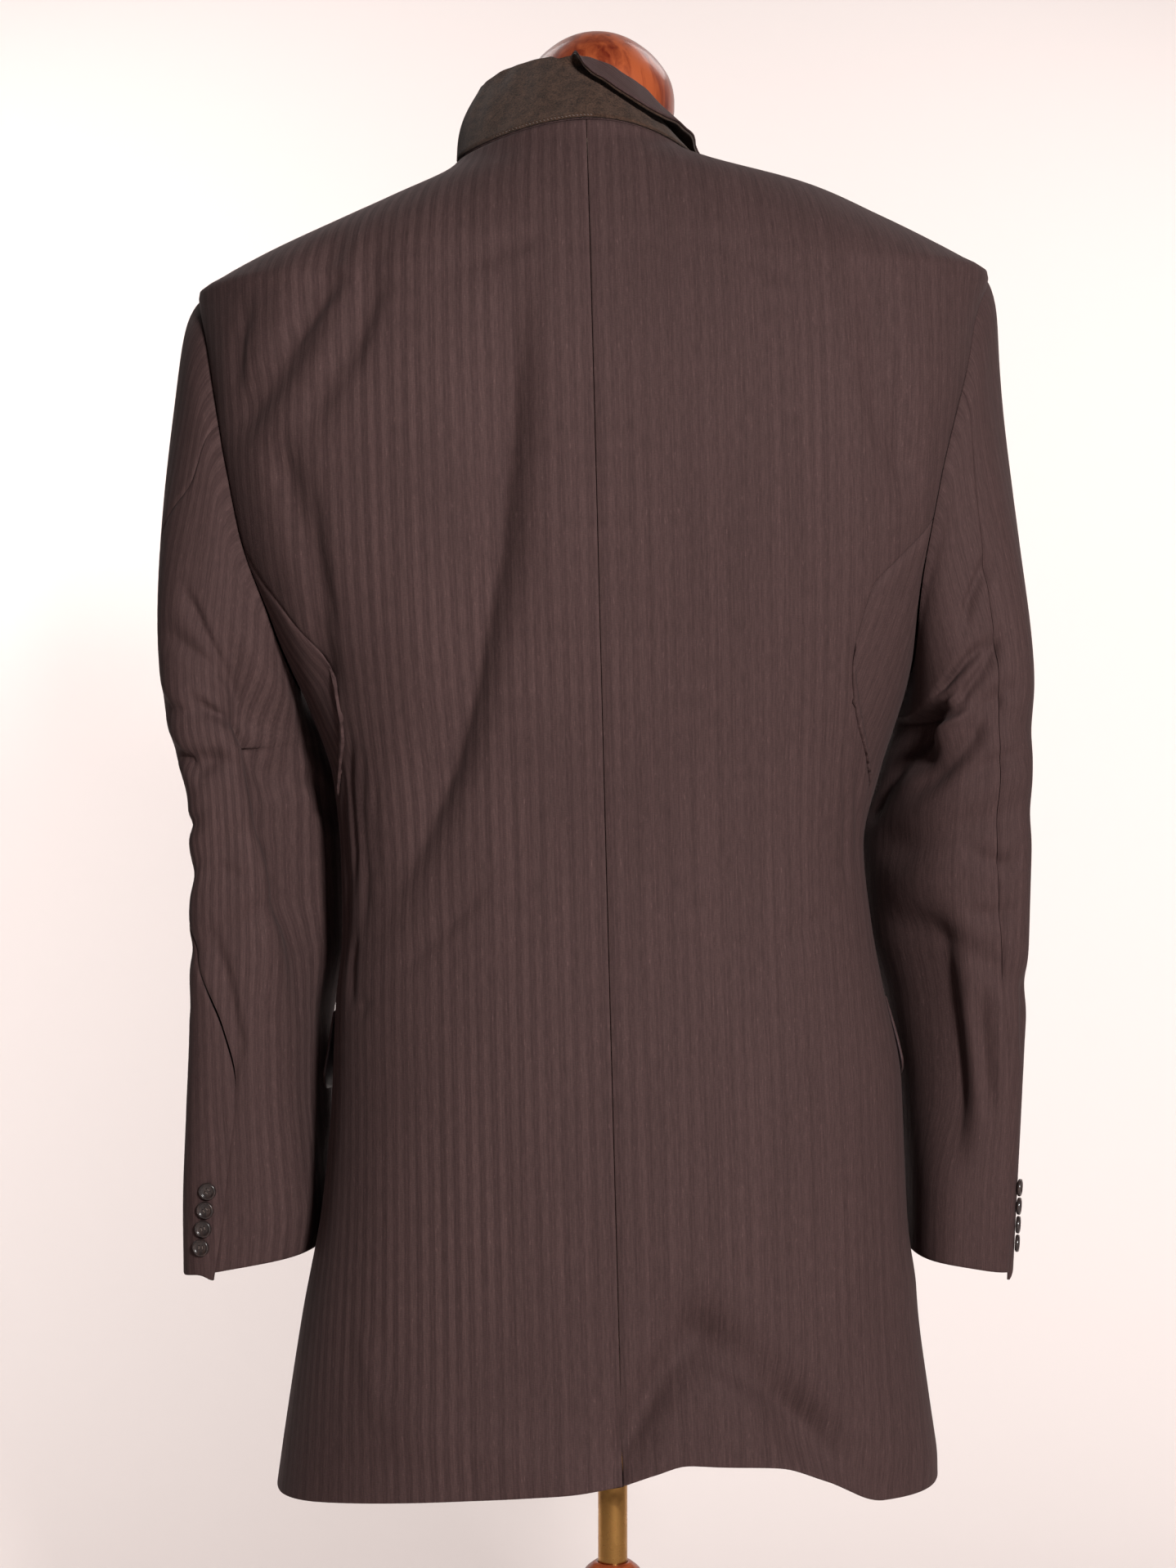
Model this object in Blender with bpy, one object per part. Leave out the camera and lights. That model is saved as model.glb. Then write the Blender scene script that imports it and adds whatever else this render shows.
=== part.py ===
"""A men's single-breasted wool blazer on a limbless dress form with a turned stand.

Metres, +Z up, the wearer faces -Y, and the wearer's left is +X. Tables are in millimetres.
The garment and its form are worked out upright and then leaned by LEAN on the upright pole.
"""

from math import cos, pi, radians, sin

import bpy
import numpy as np

MM = 0.001
WALL = 2.0  # cloth with its interlining
SEAM = 0.46  # between two pieces at a seam
LAY = 0.8  # between a piece and the panel that it lies on
LEAN = radians(1.5)
LEAN_AT = (-4.0, 0.0, 320.0)
ASIDE = -5.0  # the garment and its form hang this far off the pole's line

# Body of the jacket: half width to the wearer's left and right, depth behind and in front of
# the side line, and the squareness of the section, at each height.
BODY = (
    # height, left, right, back, front, square
    (285, 225, 205, 144, 132, 2.3),
    (350, 214, 196, 140, 128, 2.3),
    (410, 203, 190, 135, 124, 2.3),
    (480, 189, 188, 128, 121, 2.3),
    (550, 181, 187, 118, 118, 2.3),
    (610, 177, 177, 109, 117, 2.3),
    (650, 172, 171, 104, 117, 2.3),
    (700, 171, 167, 101, 118, 2.35),
    (750, 174, 179, 104, 122, 2.4),
    (800, 189, 196, 111, 126, 2.6),
    (850, 212, 208, 119, 128, 2.9),
    (905, 234, 222, 126, 126, 3.0),
    (960, 243, 233, 129, 121, 3.0),
    (1000, 247, 243, 129, 114, 2.8),
    (1040, 251, 250, 123, 102, 2.5),
    (1066, 253, 257, 115, 91, 2.3),
    (1076, 238, 242, 111, 87, 2.3),
    (1085, 221, 227, 108, 83, 2.25),
    (1105, 178, 190, 98, 76, 2.15),
    (1125, 132, 150, 86, 70, 2.0),
    (1145, 89, 83, 73, 65, 1.85),
    (1151, 83, 68, 69, 63, 1.85),
    (1162, 71, 62, 64, 61, 1.9),
)
SHOULDER = 1066
NECK = 1162
NECK_DROP = 12  # the neckline lies this much lower at its sides
JUNCTION = 905  # where the two side seams run into the armhole
UNDERARM = 812

# Levels of the rows of the body panels, from the hem to the neck
LEVELS = (310, 345, 385, 425, 465, 505, 545, 585, 625, 662, 700, 738, 772, 802, 830, 856, 881,
          905, 935, 968, 1000, 1030, 1051, 1066, 1076, 1087, 1103, 1121, 1138, 1151, 1162)
HEM_FADE = 150  # height over which the rows lose the waves of the hem

# The hem as it hangs, at each place across the back and the front
HEM_BACK = (
    # across, height
    (-225, 304), (-195, 297), (-165, 299), (-130, 317), (-100, 329), (-56, 334), (-40, 335),
    (-20, 330), (8, 322), (60, 318), (103, 315), (165, 309), (225, 300),
)
HEM_FRONT = 300

# Depth of the seam between back and side panel
SIDE_SEAM = (
    # height, left, right
    (285, 10, 10), (550, 6, 6), (650, 6, 6), (700, 8, 9), (755, 40, 50), (796, 68, 78),
    (832, 77, 91), (862, 73, 94), (881, 68, 86), (905, 63, 66),
)
FRONT_SEAM = (
    # height, depth
    (285, -52), (550, -46), (700, -42), (800, -46), (905, -58),
)
ARMHOLE = (
    # height, back, front
    (905, 63, -58), (935, 64, -60), (968, 60, -57), (1000, 52, -49), (1030, 40, -38),
    (1051, 23, -22), (1066, 0, 0),
)

# Front edge and roll line: place across, positive on the panel's own side
FRONT_EDGE = (
    # height, across
    (285, 64), (310, 40), (335, 16), (370, -5), (420, -16), (470, -18), (690, -18), (705, -14),
    (1100, 84),
)
NECK_POINT = radians(97)  # turn at which the neckline of the front leaves the shoulder seam
NECK_CURVE = 0.61
NECK_SHARE = 0.56  # share of half the neckline that lies behind this point
BREAK = 705
GORGE = 1100
LAP_FROM = 60  # where the left front starts to rise over the right
LAPEL_EDGE = (
    # height, across
    (712, -8), (750, 26), (800, 50), (850, 71), (900, 90), (950, 108), (1000, 125), (1035, 137),
    (1062, 145),
)
LAPEL_ROWS = 15
LAPEL_COLUMNS = 4

# Sleeves below the armpit: outer, inner, back and front limit of each section, and its skew
SLEEVE_LEFT = (
    # height, outer, inner, back, front, skew
    (775, 272, 181, 68, -70, 0.24),
    (740, 263, 171, 64, -71, 0.34),
    (700, 264, 170, 60, -72, 0.34),
    (650, 266, 171, 54, -73, 0.34),
    (600, 268, 183, 47, -72, 0.28),
    (540, 273, 188, 40, -70, 0.24),
    (480, 278, 187, 33, -67, 0.22),
    (425, 280, 199, 27, -64, 0.16),
)
SLEEVE_RIGHT = (
    (775, 274, 192, 66, -72, 0.15),
    (740, 272, 179, 62, -74, 0.26),
    (700, 271, 169, 57, -76, 0.30),
    (650, 269, 171, 51, -76, 0.30),
    (600, 267, 183, 46, -75, 0.24),
    (540, 263, 190, 41, -74, 0.20),
    (480, 260, 192, 37, -73, 0.10),
    (415, 256, 192, 34, -72, 0.06),
)
CUFF_LEFT = 441
CUFF_RIGHT = 430
CUFF_SLANT = 6  # the cuff hangs lower on its outer side
CAP_OUT = (0.28, 0.06)  # how far the sleeve springs out, left and right
HEAD = (8.5, 6)  # roll of the sleeve head
BOW = (10, 4)  # how far the upper arm bows out
SLEEVE_TOP = 775
SLEEVE_SQUARE = 3.0  # squareness of the hanging sleeve's section
CAP_ROWS = 9
ARM_LEVELS = 12
# Hindarm seam: turn round the sleeve from its outer side towards the back, in degrees
HINDARM = (
    # share of the sleeve's length, left, right
    (0.00, 68, 62), (0.08, 60, 66), (0.16, 36, 74), (0.24, 10, 80), (0.34, -6, 82),
    (0.44, 0, 82), (0.50, 14, 81), (0.58, 46, 78), (0.64, 66, 75), (0.70, 86, 71),
    (0.77, 98, 65), (0.85, 90, 56), (0.92, 82, 50), (1.00, 74, 46),
)
FOREARM = 236
TOP_COLUMNS = (0, 0.12, 0.25, 0.38, 0.51, 0.64, 0.77, 0.93, 1)
UNDER_COLUMNS = (0, 0.2, 0.4, 0.6, 0.8, 1)

# Folds of the cloth on the back: a bowed line with a width and a depth, positive outwards
FOLDS = (
    # from x, from z, to x, to z, bow, half width, depth
    (48, 1052, 62, 905, 6, 17, -5.0),
    (62, 905, 92, 770, 8, 17, -6.5),
    (92, 770, 152, 640, -8, 16, -6.0),
    (30, 1040, 28, 860, 4, 22, 2.5),
    (162, 1075, 214, 1000, 8, 13, -3.5),
    (138, 1066, 166, 1000, 6, 13, -3.0),
    (187, 930, 176, 835, 4, 11, -3.0),
    (-172, 1030, -186, 950, -5, 12, -4.0),
    (-45, 402, -2, 330, -6, 17, -5.5),
    (-52, 402, -110, 350, 8, 18, -6.0),
    (-110, 350, -165, 298, -4, 22, -5.0),
    (-75, 372, -60, 320, 0, 26, 4.0),
    (130, 360, 40, 330, 0, 24, 3.0),
    (-190, 420, -196, 320, 0, 18, 4.0),
)

# Folds of each sleeve: turn round it and share of its length
SLEEVE_FOLDS = (
    # side, turn, length, to turn, to length, half width in turn, in length, depth
    (1, 100, 0.28, 150, 0.40, 16, 0.03, -6.0),
    (1, 30, 0.52, 120, 0.46, 40, 0.025, -3.5),
    (1, 60, 0.60, 130, 0.56, 40, 0.022, -3.0),
    (-1, 60, 0.36, 140, 0.30, 26, 0.028, -5.0),
    (-1, 70, 0.46, 150, 0.50, 30, 0.026, -5.0),
    (-1, 60, 0.66, 140, 0.60, 30, 0.024, -4.0),
)

# Collar, from the right gorge round the neck to the left gorge
COLLAR_LAYER = 1.3
FOLD_RADIUS = 3.2
COLLAR = (
    # share of the neckline, lean in, height of the fold, turn of the leaf, sweep forward, width
    (0.00, 36, 14, 134, 14, 60),
    (0.10, 40, 17, 150, 7, 50),
    (0.22, 42, 28, 166, 0, 51),
    (0.29, 40, 41, 172, 0, 70),
    (0.326, 38, 44.5, 174, 0, 77),
    (0.365, 37, 46, 175, 0, 81),
    (0.405, 38, 49, 176, 0, 82),
    (0.44, 39, 54, 175, 0, 83),
    (0.474, 40, 58, 172, 0, 82),
    (0.50, 40, 58.5, 164, 0, 76),
    (0.53, 40, 58.5, 60, 0, 63.5),
    (0.555, 39, 57.5, 8, 0, 63.5),
    (0.58, 37, 57, 0, 0, 68),
    (0.68, 30, 52, 2, 0, 66.5),
    (0.74, 23, 48, 3, 0, 57.5),
    (0.78, 18, 46, 5, 0, 52),
    (0.86, 11, 40, 8, 0, 57),
    (0.93, 18, 31, 26, 4, 60),
    (1.00, 26, 16, 66, 14, 60),
)

# Pockets, as heights and turns round the body in degrees of the section
FLAP_TOP = 602
FLAP_BOTTOM = 550
FLAP_TURNS = (93, 143)
WELT_TURNS = (128, 147)
WELT_TOP = 940
WELT_BOTTOM = 916

VENT_TOP = 529  # the underlap is one column of the back wide
BACK_COLUMNS = 9
SIDE_COLUMNS = 6
FRONT_COLUMNS = 8

FRONT_BUTTON = 20
CUFF_BUTTON = 11.3
CUFF_PITCH = 11.9
CUFF_FIRST = 18  # from the cuff's edge to the lowest button

# Dress form: sections below the collar, then the neck
FORM = (
    # height, half width, back, front, square, forward, to the right
    (372, 150, 98, 88, 2.3, 0, 0),
    (420, 160, 104, 94, 2.3, 0, 0),
    (500, 160, 104, 96, 2.3, 0, 0),
    (580, 152, 92, 94, 2.3, 0, 0),
    (650, 144, 82, 94, 2.3, 0, 0),
    (700, 142, 80, 96, 2.3, 0, 0),
    (760, 148, 84, 101, 2.3, 0, 0),
    (820, 160, 91, 106, 2.3, 0, 0),
    (880, 176, 99, 109, 2.4, 0, 0),
    (940, 190, 108, 106, 2.5, 0, 0),
    (1000, 202, 112, 98, 2.5, 0, 0),
    (1040, 211, 109, 90, 2.4, 0, 0),
    (1066, 214, 103, 82, 2.3, 0, 0),
    (1082, 206, 97, 70, 2.25, 0, 0),
    (1101, 174, 90, 62, 2.2, 0, 0),
    (1121, 126, 79, 54, 2.1, 0, 0),
    (1136, 84, 66, 50, 2.0, 0, 1),
    (1147, 60, 53, 46, 2.0, 2, 5.6),
    (1158, 48.3, 44, 44, 2.0, 14, 5.7),
    (1168, 45, 43, 42, 2.0, 28, 6),
    (1178, 45, 43, 42, 2.0, 41, 6),
    (1185.6, 46, 44, 44, 2.0, 46, 6),
)
NECK_FORWARD = 46
NECK_ASIDE = 8
CAP = (
    # radius, height
    (50.2, 1186), (51.2, 1191), (51.4, 1198), (50.4, 1206), (47.8, 1213.4), (43.4, 1220.6),
    (37.6, 1227.6), (30, 1234), (23.2, 1238.4), (14.6, 1242), (0, 1244),
)
POLE_RADIUS = 9.5
POLE_TOP = 470
POLE_FOOT = 60
COLUMN = (
    # radius, height
    (34, 24.4), (36, 30), (30, 38), (23, 50), (19, 74), (18, 104), (21, 138), (25, 164),
    (22, 178), (18, 190), (18, 194), (22, 198), (24, 207), (24, 218), (22, 229), (17.5, 237),
    (12, 241),
)
BASE = (
    # radius, height
    (150, 0), (155, 3), (155, 12), (151, 17), (142, 19), (90, 21), (52, 24), (0, 24),
)


def smooth(rows, column, at):
    """Smooth curve through a table's column, with slopes that never overshoot."""
    table = np.array(rows, float)
    xs = table[:, 0]
    ys = table[:, column]
    step = np.diff(xs)
    slope = np.diff(ys) / step
    tangent = np.zeros(len(xs))
    tangent[0] = slope[0]
    tangent[-1] = slope[-1]
    same = slope[:-1] * slope[1:] > 0
    mean = 2 * slope[:-1] * slope[1:] / np.where(same, slope[:-1] + slope[1:], 1)
    tangent[1:-1] = np.where(same, mean, 0)
    at = np.clip(np.asarray(at, float), xs[0], xs[-1])
    i = np.clip(np.searchsorted(xs, at, side="right") - 1, 0, len(xs) - 2)
    t = (at - xs[i]) / step[i]
    near = ys[i] * (1 + 2 * t) * (1 - t) ** 2 + ys[i + 1] * t * t * (3 - 2 * t)
    return near + step[i] * t * (1 - t) * (tangent[i] * (1 - t) - tangent[i + 1] * t)


def ease(t):
    """0 to 1 with level ends."""
    t = np.clip(t, 0, 1)
    return t * t * (3 - 2 * t)


def unit(v):
    return v / np.maximum(np.linalg.norm(v, axis=-1, keepdims=True), 1e-9)


def section(height, side):
    """Half width, back depth, front depth and squareness of the body."""
    width = smooth(BODY, 1 if side > 0 else 2, height)
    return width, smooth(BODY, 3, height), smooth(BODY, 4, height), smooth(BODY, 5, height)


def turn_at_depth(depth, height, side):
    """Turn round the section, 0 at the centre back and pi at the front, for a depth."""
    width, back, front, square = section(height, side)
    reach = np.where(np.asarray(depth) > 0, back, front)
    share = np.clip(np.asarray(depth) / reach, -1, 1)
    across = (1 - np.abs(share) ** square) ** (1 / square)
    return np.arctan2(across, share)


def turn_at_across(across, height, side, front=True):
    """Turn for a place across the front or the back, which may lie past the centre."""
    width, _, _, square = section(height, side)
    share = np.clip(np.asarray(across) / width, -1, 1)
    depth = (1 - np.abs(share) ** square) ** (1 / square)
    return np.where(front, pi - np.arctan2(share, depth), np.arctan2(share, depth))


def fold_depth(x, z):
    """How far the folds move the back at each place."""
    moved = np.zeros(np.broadcast(x, z).shape)
    for x0, z0, x1, z1, bow, half, depth in FOLDS:
        run = np.array([x1 - x0, z1 - z0], float)
        long = float(np.hypot(*run))
        along = ((x - x0) * run[0] + (z - z0) * run[1]) / long
        off = ((x - x0) * run[1] - (z - z0) * run[0]) / long
        t = np.clip(along / long, 0, 1)
        off = off - bow * 4 * t * (1 - t)
        end = np.maximum(0, np.abs(along - long / 2) - long / 2)
        far = np.sqrt((off / half) ** 2 + (end / (half * 1.6)) ** 2)
        moved = moved + depth * np.exp(-far ** 2 * 1.3)
    return moved


def plain_body(turn, height, side):
    """Point of the smooth body."""
    width, back, front, square = section(height, side)
    c = np.cos(turn)
    s = np.sin(turn)
    size = (np.abs(c) ** square + np.abs(s) ** square) ** (-1 / square)
    return np.stack([side * width * size * s, np.where(c > 0, back, front) * size * c,
                     np.asarray(height) + 0 * size], axis=-1)


def normal_of(surface, u, v, *more):
    """Outward normal of surface(u, v) by small steps, u round it and v up."""
    du = surface(u + 1e-3, v, *more) - surface(u - 1e-3, v, *more)
    dv = surface(u, v + 0.5, *more) - surface(u, v - 0.5, *more)
    return unit(np.cross(dv, du))


def plain_normal(turn, height, side):
    return normal_of(plain_body, turn, height, side) * side


def body(turn, height, side):
    """Point of the outer face of the body cloth, with its folds."""
    point = plain_body(turn, height, side)
    out = plain_normal(turn, height, side)
    on_back = ease((np.cos(turn) + 0.05) / 0.3)
    moved = fold_depth(point[..., 0], point[..., 2]) * on_back
    return point + out * moved[..., None]


def body_normal(turn, height, side):
    return normal_of(body, turn, height, side) * side


def neck_drop(level, turn):
    return NECK_DROP * ease((level - 1103) / (NECK - 1103)) * np.sin(turn) ** 2


def row_height(level, across):
    """Height of a row: the lowest follows the hem, the others less and less."""
    hem = smooth(HEM_BACK, 1, across)
    share = ease(1 - (np.asarray(level) - LEVELS[0]) / HEM_FADE)
    return level + (hem - LEVELS[0]) * share


def panel_rows(levels, first, last, side, columns):
    """Turn and height grids between two boundary functions of height."""
    levels = np.asarray(levels, float)[:, None]
    u = np.linspace(0, 1, columns + 1)[None, :]
    turn = first(levels) * (1 - u) + last(levels) * u
    guess = plain_body(turn, levels, side)
    on_back = ease((np.cos(turn) + 0.4) / 0.5)
    across = guess[..., 0]
    wave = row_height(levels, across) * on_back + (1 - on_back) * (
        levels + (HEM_FRONT - LEVELS[0]) * ease(1 - (levels - LEVELS[0]) / HEM_FADE))
    return turn, wave - neck_drop(levels, turn)


def centre_back(level):
    return np.zeros_like(level)


def side_seam(side):
    def at(level):
        low = turn_at_depth(smooth(SIDE_SEAM, 1 if side > 0 else 2, level), level, side)
        high = turn_at_depth(smooth(ARMHOLE, 1, level), level, side)
        return np.where(level <= JUNCTION, low, np.where(level < SHOULDER, high, pi / 2))
    return at


def front_seam(side):
    def at(level):
        low = turn_at_depth(smooth(FRONT_SEAM, 1, level), level, side)
        high = turn_at_depth(smooth(ARMHOLE, 2, level), level, side)
        return np.where(level <= JUNCTION, low, np.where(level < SHOULDER, high, pi / 2))
    return at


def front_edge(side):
    def at(level):
        edge = turn_at_across(smooth(FRONT_EDGE, 1, level), level, side)
        gorge = turn_at_across(FRONT_EDGE[-1][1], GORGE, side)
        share = np.clip((NECK - level) / (NECK - GORGE), 0, 1) ** NECK_CURVE
        return np.where(level > GORGE, NECK_POINT + (gorge - NECK_POINT) * share, edge)
    return at


def lap(point, side):
    """How far the left front rises over the right one."""
    if side < 0:
        return np.zeros(point.shape[:-1])
    below = ease((BREAK + 130 - point[..., 2]) / 60)
    near = ease((LAP_FROM - point[..., 0]) / (LAP_FROM - 20)) * (point[..., 1] < 0)
    return (WALL + LAY) * near * below


def body_faces(turn, height, side, lapped=False):
    """Outer and inner face of a body panel."""
    outer = body(turn, height, side)
    out = body_normal(turn, height, side)
    if lapped:
        outer = outer + out * lap(outer, side)[..., None]
    return outer, outer - out * WALL


def armhole_loop(side):
    """Corners of the armhole from the shoulder down the back, round and up the front."""
    high = [z for z in LEVELS if JUNCTION < z < SHOULDER]
    points = [(pi / 2, SHOULDER)]
    for z in reversed(high):
        points.append((float(side_seam(side)(np.float64(z))), z))
    u, top = underarm(side, SIDE_COLUMNS)
    points += list(zip(u, top))
    for z in high:
        points.append((float(front_seam(side)(np.float64(z))), z))
    turn = np.array([p[0] for p in points])
    height = np.array([p[1] for p in points], float)
    return turn, height


def underarm(side, columns):
    """Top edge of the side panel, from the back junction to the front one."""
    start = float(side_seam(side)(np.float64(JUNCTION)))
    end = float(front_seam(side)(np.float64(JUNCTION)))
    u = np.array([0, 0.1, 0.27, 0.5, 0.73, 0.9, 1])
    dip = (JUNCTION - UNDERARM) * np.sqrt(np.maximum(0, 1 - (2 * u - 1) ** 2)) ** 0.85
    return start + (end - start) * u, JUNCTION - dip


def side_panel_grid(side):
    """Side panel: rows below the armpit are level, those above squeeze under the armhole."""
    turn_top, top = underarm(side, SIDE_COLUMNS)
    u = (turn_top - turn_top[0]) / (turn_top[-1] - turn_top[0])
    levels = np.array([z for z in LEVELS if z <= JUNCTION], float)[:, None]
    low = 738.0
    share = np.clip((levels - low) / (JUNCTION - low), 0, 1)
    height = np.where(levels <= low, levels, low + (top[None, :] - low) * share)
    back = side_seam(side)(levels)
    front = front_seam(side)(levels)
    turn = back * (1 - u) + front * u
    hem = levels + (HEM_FRONT - LEVELS[0]) * ease(1 - (levels - LEVELS[0]) / HEM_FADE)
    across = plain_body(turn, levels, side)[..., 0]
    on_back = ease((np.cos(turn) + 0.4) / 0.5)
    wave = row_height(levels, across) * on_back + (1 - on_back) * hem
    return turn, height + (wave - levels) * (levels <= low)


def sleeve_rows(side):
    return SLEEVE_LEFT[::-1] if side > 0 else SLEEVE_RIGHT[::-1]


def arm_section(angle, height, side):
    """Point of the sleeve's smooth tube below the armpit."""
    rows = sleeve_rows(side)
    outer, inner, back, front, skew = (smooth(rows, k, height) for k in range(1, 6))
    half = (outer - inner) / 2
    slant = skew * (back - front) / 2
    power = SLEEVE_SQUARE / (SLEEVE_SQUARE - 1)
    straight = (half ** power - slant ** power) ** (1 / power)
    c = np.cos(angle)
    s = np.sin(angle)
    size = (np.abs(c) ** SLEEVE_SQUARE + np.abs(s) ** SLEEVE_SQUARE) ** (-1 / SLEEVE_SQUARE)
    x = (outer + inner) / 2 + (straight * c + slant * s) * size
    y = (back + front) / 2 + (back - front) / 2 * s * size
    return np.stack([side * x, y, np.asarray(height) + 0 * x], axis=-1)


class Sleeve:
    """The sleeve's outer face as one tube from the armhole to the cuff."""

    def __init__(self, side):
        self.side = side
        turn, height = armhole_loop(side)
        self.loop = body(turn, height, side)
        self.out = body_normal(turn, height, side)
        middle = (SHOULDER + UNDERARM) / 2
        angle = np.arctan2(self.loop[:, 1], (self.loop[:, 2] - middle) * 0.62)
        self.angle = np.unwrap(np.concatenate([angle, angle[:1] + 2 * pi]))
        self.loop = np.concatenate([self.loop, self.loop[:1]])
        self.out = np.concatenate([self.out, self.out[:1]])
        self.cuff = CUFF_LEFT if side > 0 else CUFF_RIGHT
        self.cap_share = 0.36
        self.spring = CAP_OUT[0 if side > 0 else 1]
        self.head = HEAD[0 if side > 0 else 1]
        self.bow = BOW[0 if side > 0 else 1]

    def at_loop(self, angle, values):
        angle = np.mod(angle - self.angle[0], 2 * pi) + self.angle[0]
        return np.stack([np.interp(angle, self.angle, values[:, k]) for k in range(3)], -1)

    def start(self, angle):
        """Edge at the armhole, how it leaves it, and how far it lies beside the panel."""
        edge = self.at_loop(angle, self.loop)
        out = unit(self.at_loop(angle, self.out))
        under = ease((-np.cos(angle) - 0.2) / 0.8)
        leave = np.stack([
            self.side * (self.spring * (1 - under) + 0.12 * under), 0.10 * np.sin(angle), -0.9 + 0 * under,
        ], axis=-1)
        return edge + out * (0.7 * under)[..., None], unit(leave), under

    def cap(self, angle, share):
        """Between the armhole and the level of the armpit."""
        edge, leave, under = self.start(angle)
        end = arm_section(angle, np.full(np.shape(angle), float(SLEEVE_TOP)), self.side)
        far = np.linalg.norm(end - edge, axis=-1, keepdims=True)
        t = share[..., None]
        h00 = (1 + 2 * t) * (1 - t) ** 2
        h10 = t * (1 - t) ** 2
        h01 = t * t * (3 - 2 * t)
        h11 = -t * t * (1 - t)
        down = np.array([0.0, 0.0, -1.0])
        roll = self.head * (1 - under) * share / 0.07 * np.exp(1 - share / 0.07)
        bow = self.bow * (1 + np.cos(angle)) / 2 * share ** 2 * (1 - share) * 6.75
        rolled = (roll + bow)[..., None] * (self.side, 0, 0)
        return edge * h00 + leave * far * h10 + end * h01 + down * far * h11 + rolled

    def smooth_point(self, angle, share):
        angle, share = np.broadcast_arrays(np.asarray(angle, float), np.asarray(share, float))
        upper = self.cap(angle, np.clip(share / self.cap_share, 0, 1))
        down = np.clip((share - self.cap_share) / (1 - self.cap_share), 0, 1)
        cuff = self.cuff - CUFF_SLANT * np.cos(angle)
        lower = arm_section(angle, SLEEVE_TOP + (cuff - SLEEVE_TOP) * down, self.side)
        return np.where((share <= self.cap_share)[..., None], upper, lower)

    def smooth_normal(self, angle, share):
        share = np.clip(share, 0.002, 0.998)
        du = self.smooth_point(angle + 2e-3, share) - self.smooth_point(angle - 2e-3, share)
        dv = self.smooth_point(angle, share + 2e-3) - self.smooth_point(angle, share - 2e-3)
        return unit(np.cross(du, dv)) * -self.side

    def point(self, angle, share):
        base = self.smooth_point(angle, share)
        moved = np.zeros(base.shape[:-1])
        degrees = np.degrees(angle)
        for side, a0, s0, a1, s1, wide, long, depth in SLEEVE_FOLDS:
            if side != self.side:
                continue
            t = np.clip((degrees - a0) / (a1 - a0), 0, 1)
            off = (share - (s0 + (s1 - s0) * t)) / long
            end = np.maximum(0, np.maximum(a0 - degrees, degrees - a1)) / wide
            moved = moved + depth * np.exp(-1.2 * (off ** 2 + end ** 2))
        moved = moved * ease(share / 0.1)
        return base + self.smooth_normal(angle, share) * moved[..., None]

    def faces(self, angle, share):
        angle, share = np.broadcast_arrays(angle, share)
        outer = self.point(angle, share)
        out = self.smooth_normal(angle, share)
        edge = self.at_loop(angle, self.out)
        _, _, under = self.start(angle)
        both = ease(1 - share / 0.05) * (1 - under)
        out = unit(out + edge * both[..., None])
        return outer, outer - out * WALL

    def hindarm(self, share):
        return np.radians(smooth(HINDARM, 1 if self.side > 0 else 2, share))


def neckline(share):
    """Turn, height and side at a share of the neckline, 0 and 1 at the two gorges."""
    share = np.asarray(share, float)
    side = np.where(share < 0.5, -1, 1)
    way = np.abs(share - 0.5) * 2  # 0 at the centre back, 1 at a gorge
    front = np.clip((way - NECK_SHARE) / (1 - NECK_SHARE), 0, 1)
    level = NECK - (NECK - GORGE) * front ** 1.3
    back_turn = NECK_POINT * np.clip(way / NECK_SHARE, 0, 1)
    front_turn = np.where(side > 0, front_edge(1)(level), front_edge(-1)(level))
    turn = np.where(way <= NECK_SHARE, back_turn, front_turn)
    return turn, level - neck_drop(level, turn), side


def collar_stations():
    """Shares of the neckline at the corners of the panels' edges, so that seams meet."""
    way = list(NECK_SHARE * np.linspace(0, pi / 2, BACK_COLUMNS + 1) / NECK_POINT) + [NECK_SHARE]
    for level in reversed(LEVELS[:-1]):
        if level > GORGE + 4:
            front = ((NECK - level) / (NECK - GORGE)) ** (1 / 1.3)
            way.append(NECK_SHARE + (1 - NECK_SHARE) * front)
    way = np.array(way + [1.0])
    return np.concatenate([0.5 - way[:0:-1] / 2, 0.5 + way / 2])


def either_side(surface, turn, height, side):
    """A surface's value on the side that each place is on."""
    left = surface(turn, height, 1)
    right = surface(turn, height, -1)
    return np.where((side > 0)[..., None], left, right)


def collar_line(share, across):
    """Middle of the collar cloth at a share of the neckline and a distance from its seam."""
    turn, height, side = neckline(share)
    out = either_side(plain_normal, turn, height, side)
    seam = either_side(plain_body, turn, height, side) - out
    flat = unit(out * (1, 1, 0))
    lean, fold, bend, sweep, width = (smooth(COLLAR, k, share) for k in range(1, 6))
    reach = pi * FOLD_RADIUS
    steps = 36
    d = across / steps
    place = np.zeros(np.shape(share) + (2,))
    for k in range(steps):
        s = (k + 0.5) * d
        part = ease((s - fold + reach / 2) / reach)
        angle = np.radians(90 + lean - bend * part)
        place[..., 0] += np.cos(angle) * d
        place[..., 1] += np.sin(angle) * d
    ahead = collar_tangent(share)
    swept = sweep * ease((across - fold) / (width - fold))
    middle = seam + flat * place[..., :1] + ahead * (swept * side)[..., None]
    rise = unit(np.cross(ahead, flat))
    middle = middle + rise * place[..., 1:]
    last = np.radians(90 + lean - bend * ease((across - fold + reach / 2) / reach))
    inner = flat * (-np.sin(last))[..., None] + rise * np.cos(last)[..., None]
    return middle, inner


def collar_tangent(share):
    """Direction along the neckline towards the left gorge."""
    ends = []
    for step in (-0.01, 0.01):
        at = np.clip(np.asarray(share) + step, 0, 1)
        turn, height, side = neckline(at)
        ends.append(either_side(plain_body, turn, height, side))
    return unit(ends[1] - ends[0])


def collar_faces(share, across, near, far):
    """Two faces of one collar layer, offset from the middle towards the neck."""
    middle, inner = collar_line(share, across)
    return middle + inner * near, middle + inner * far


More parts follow.
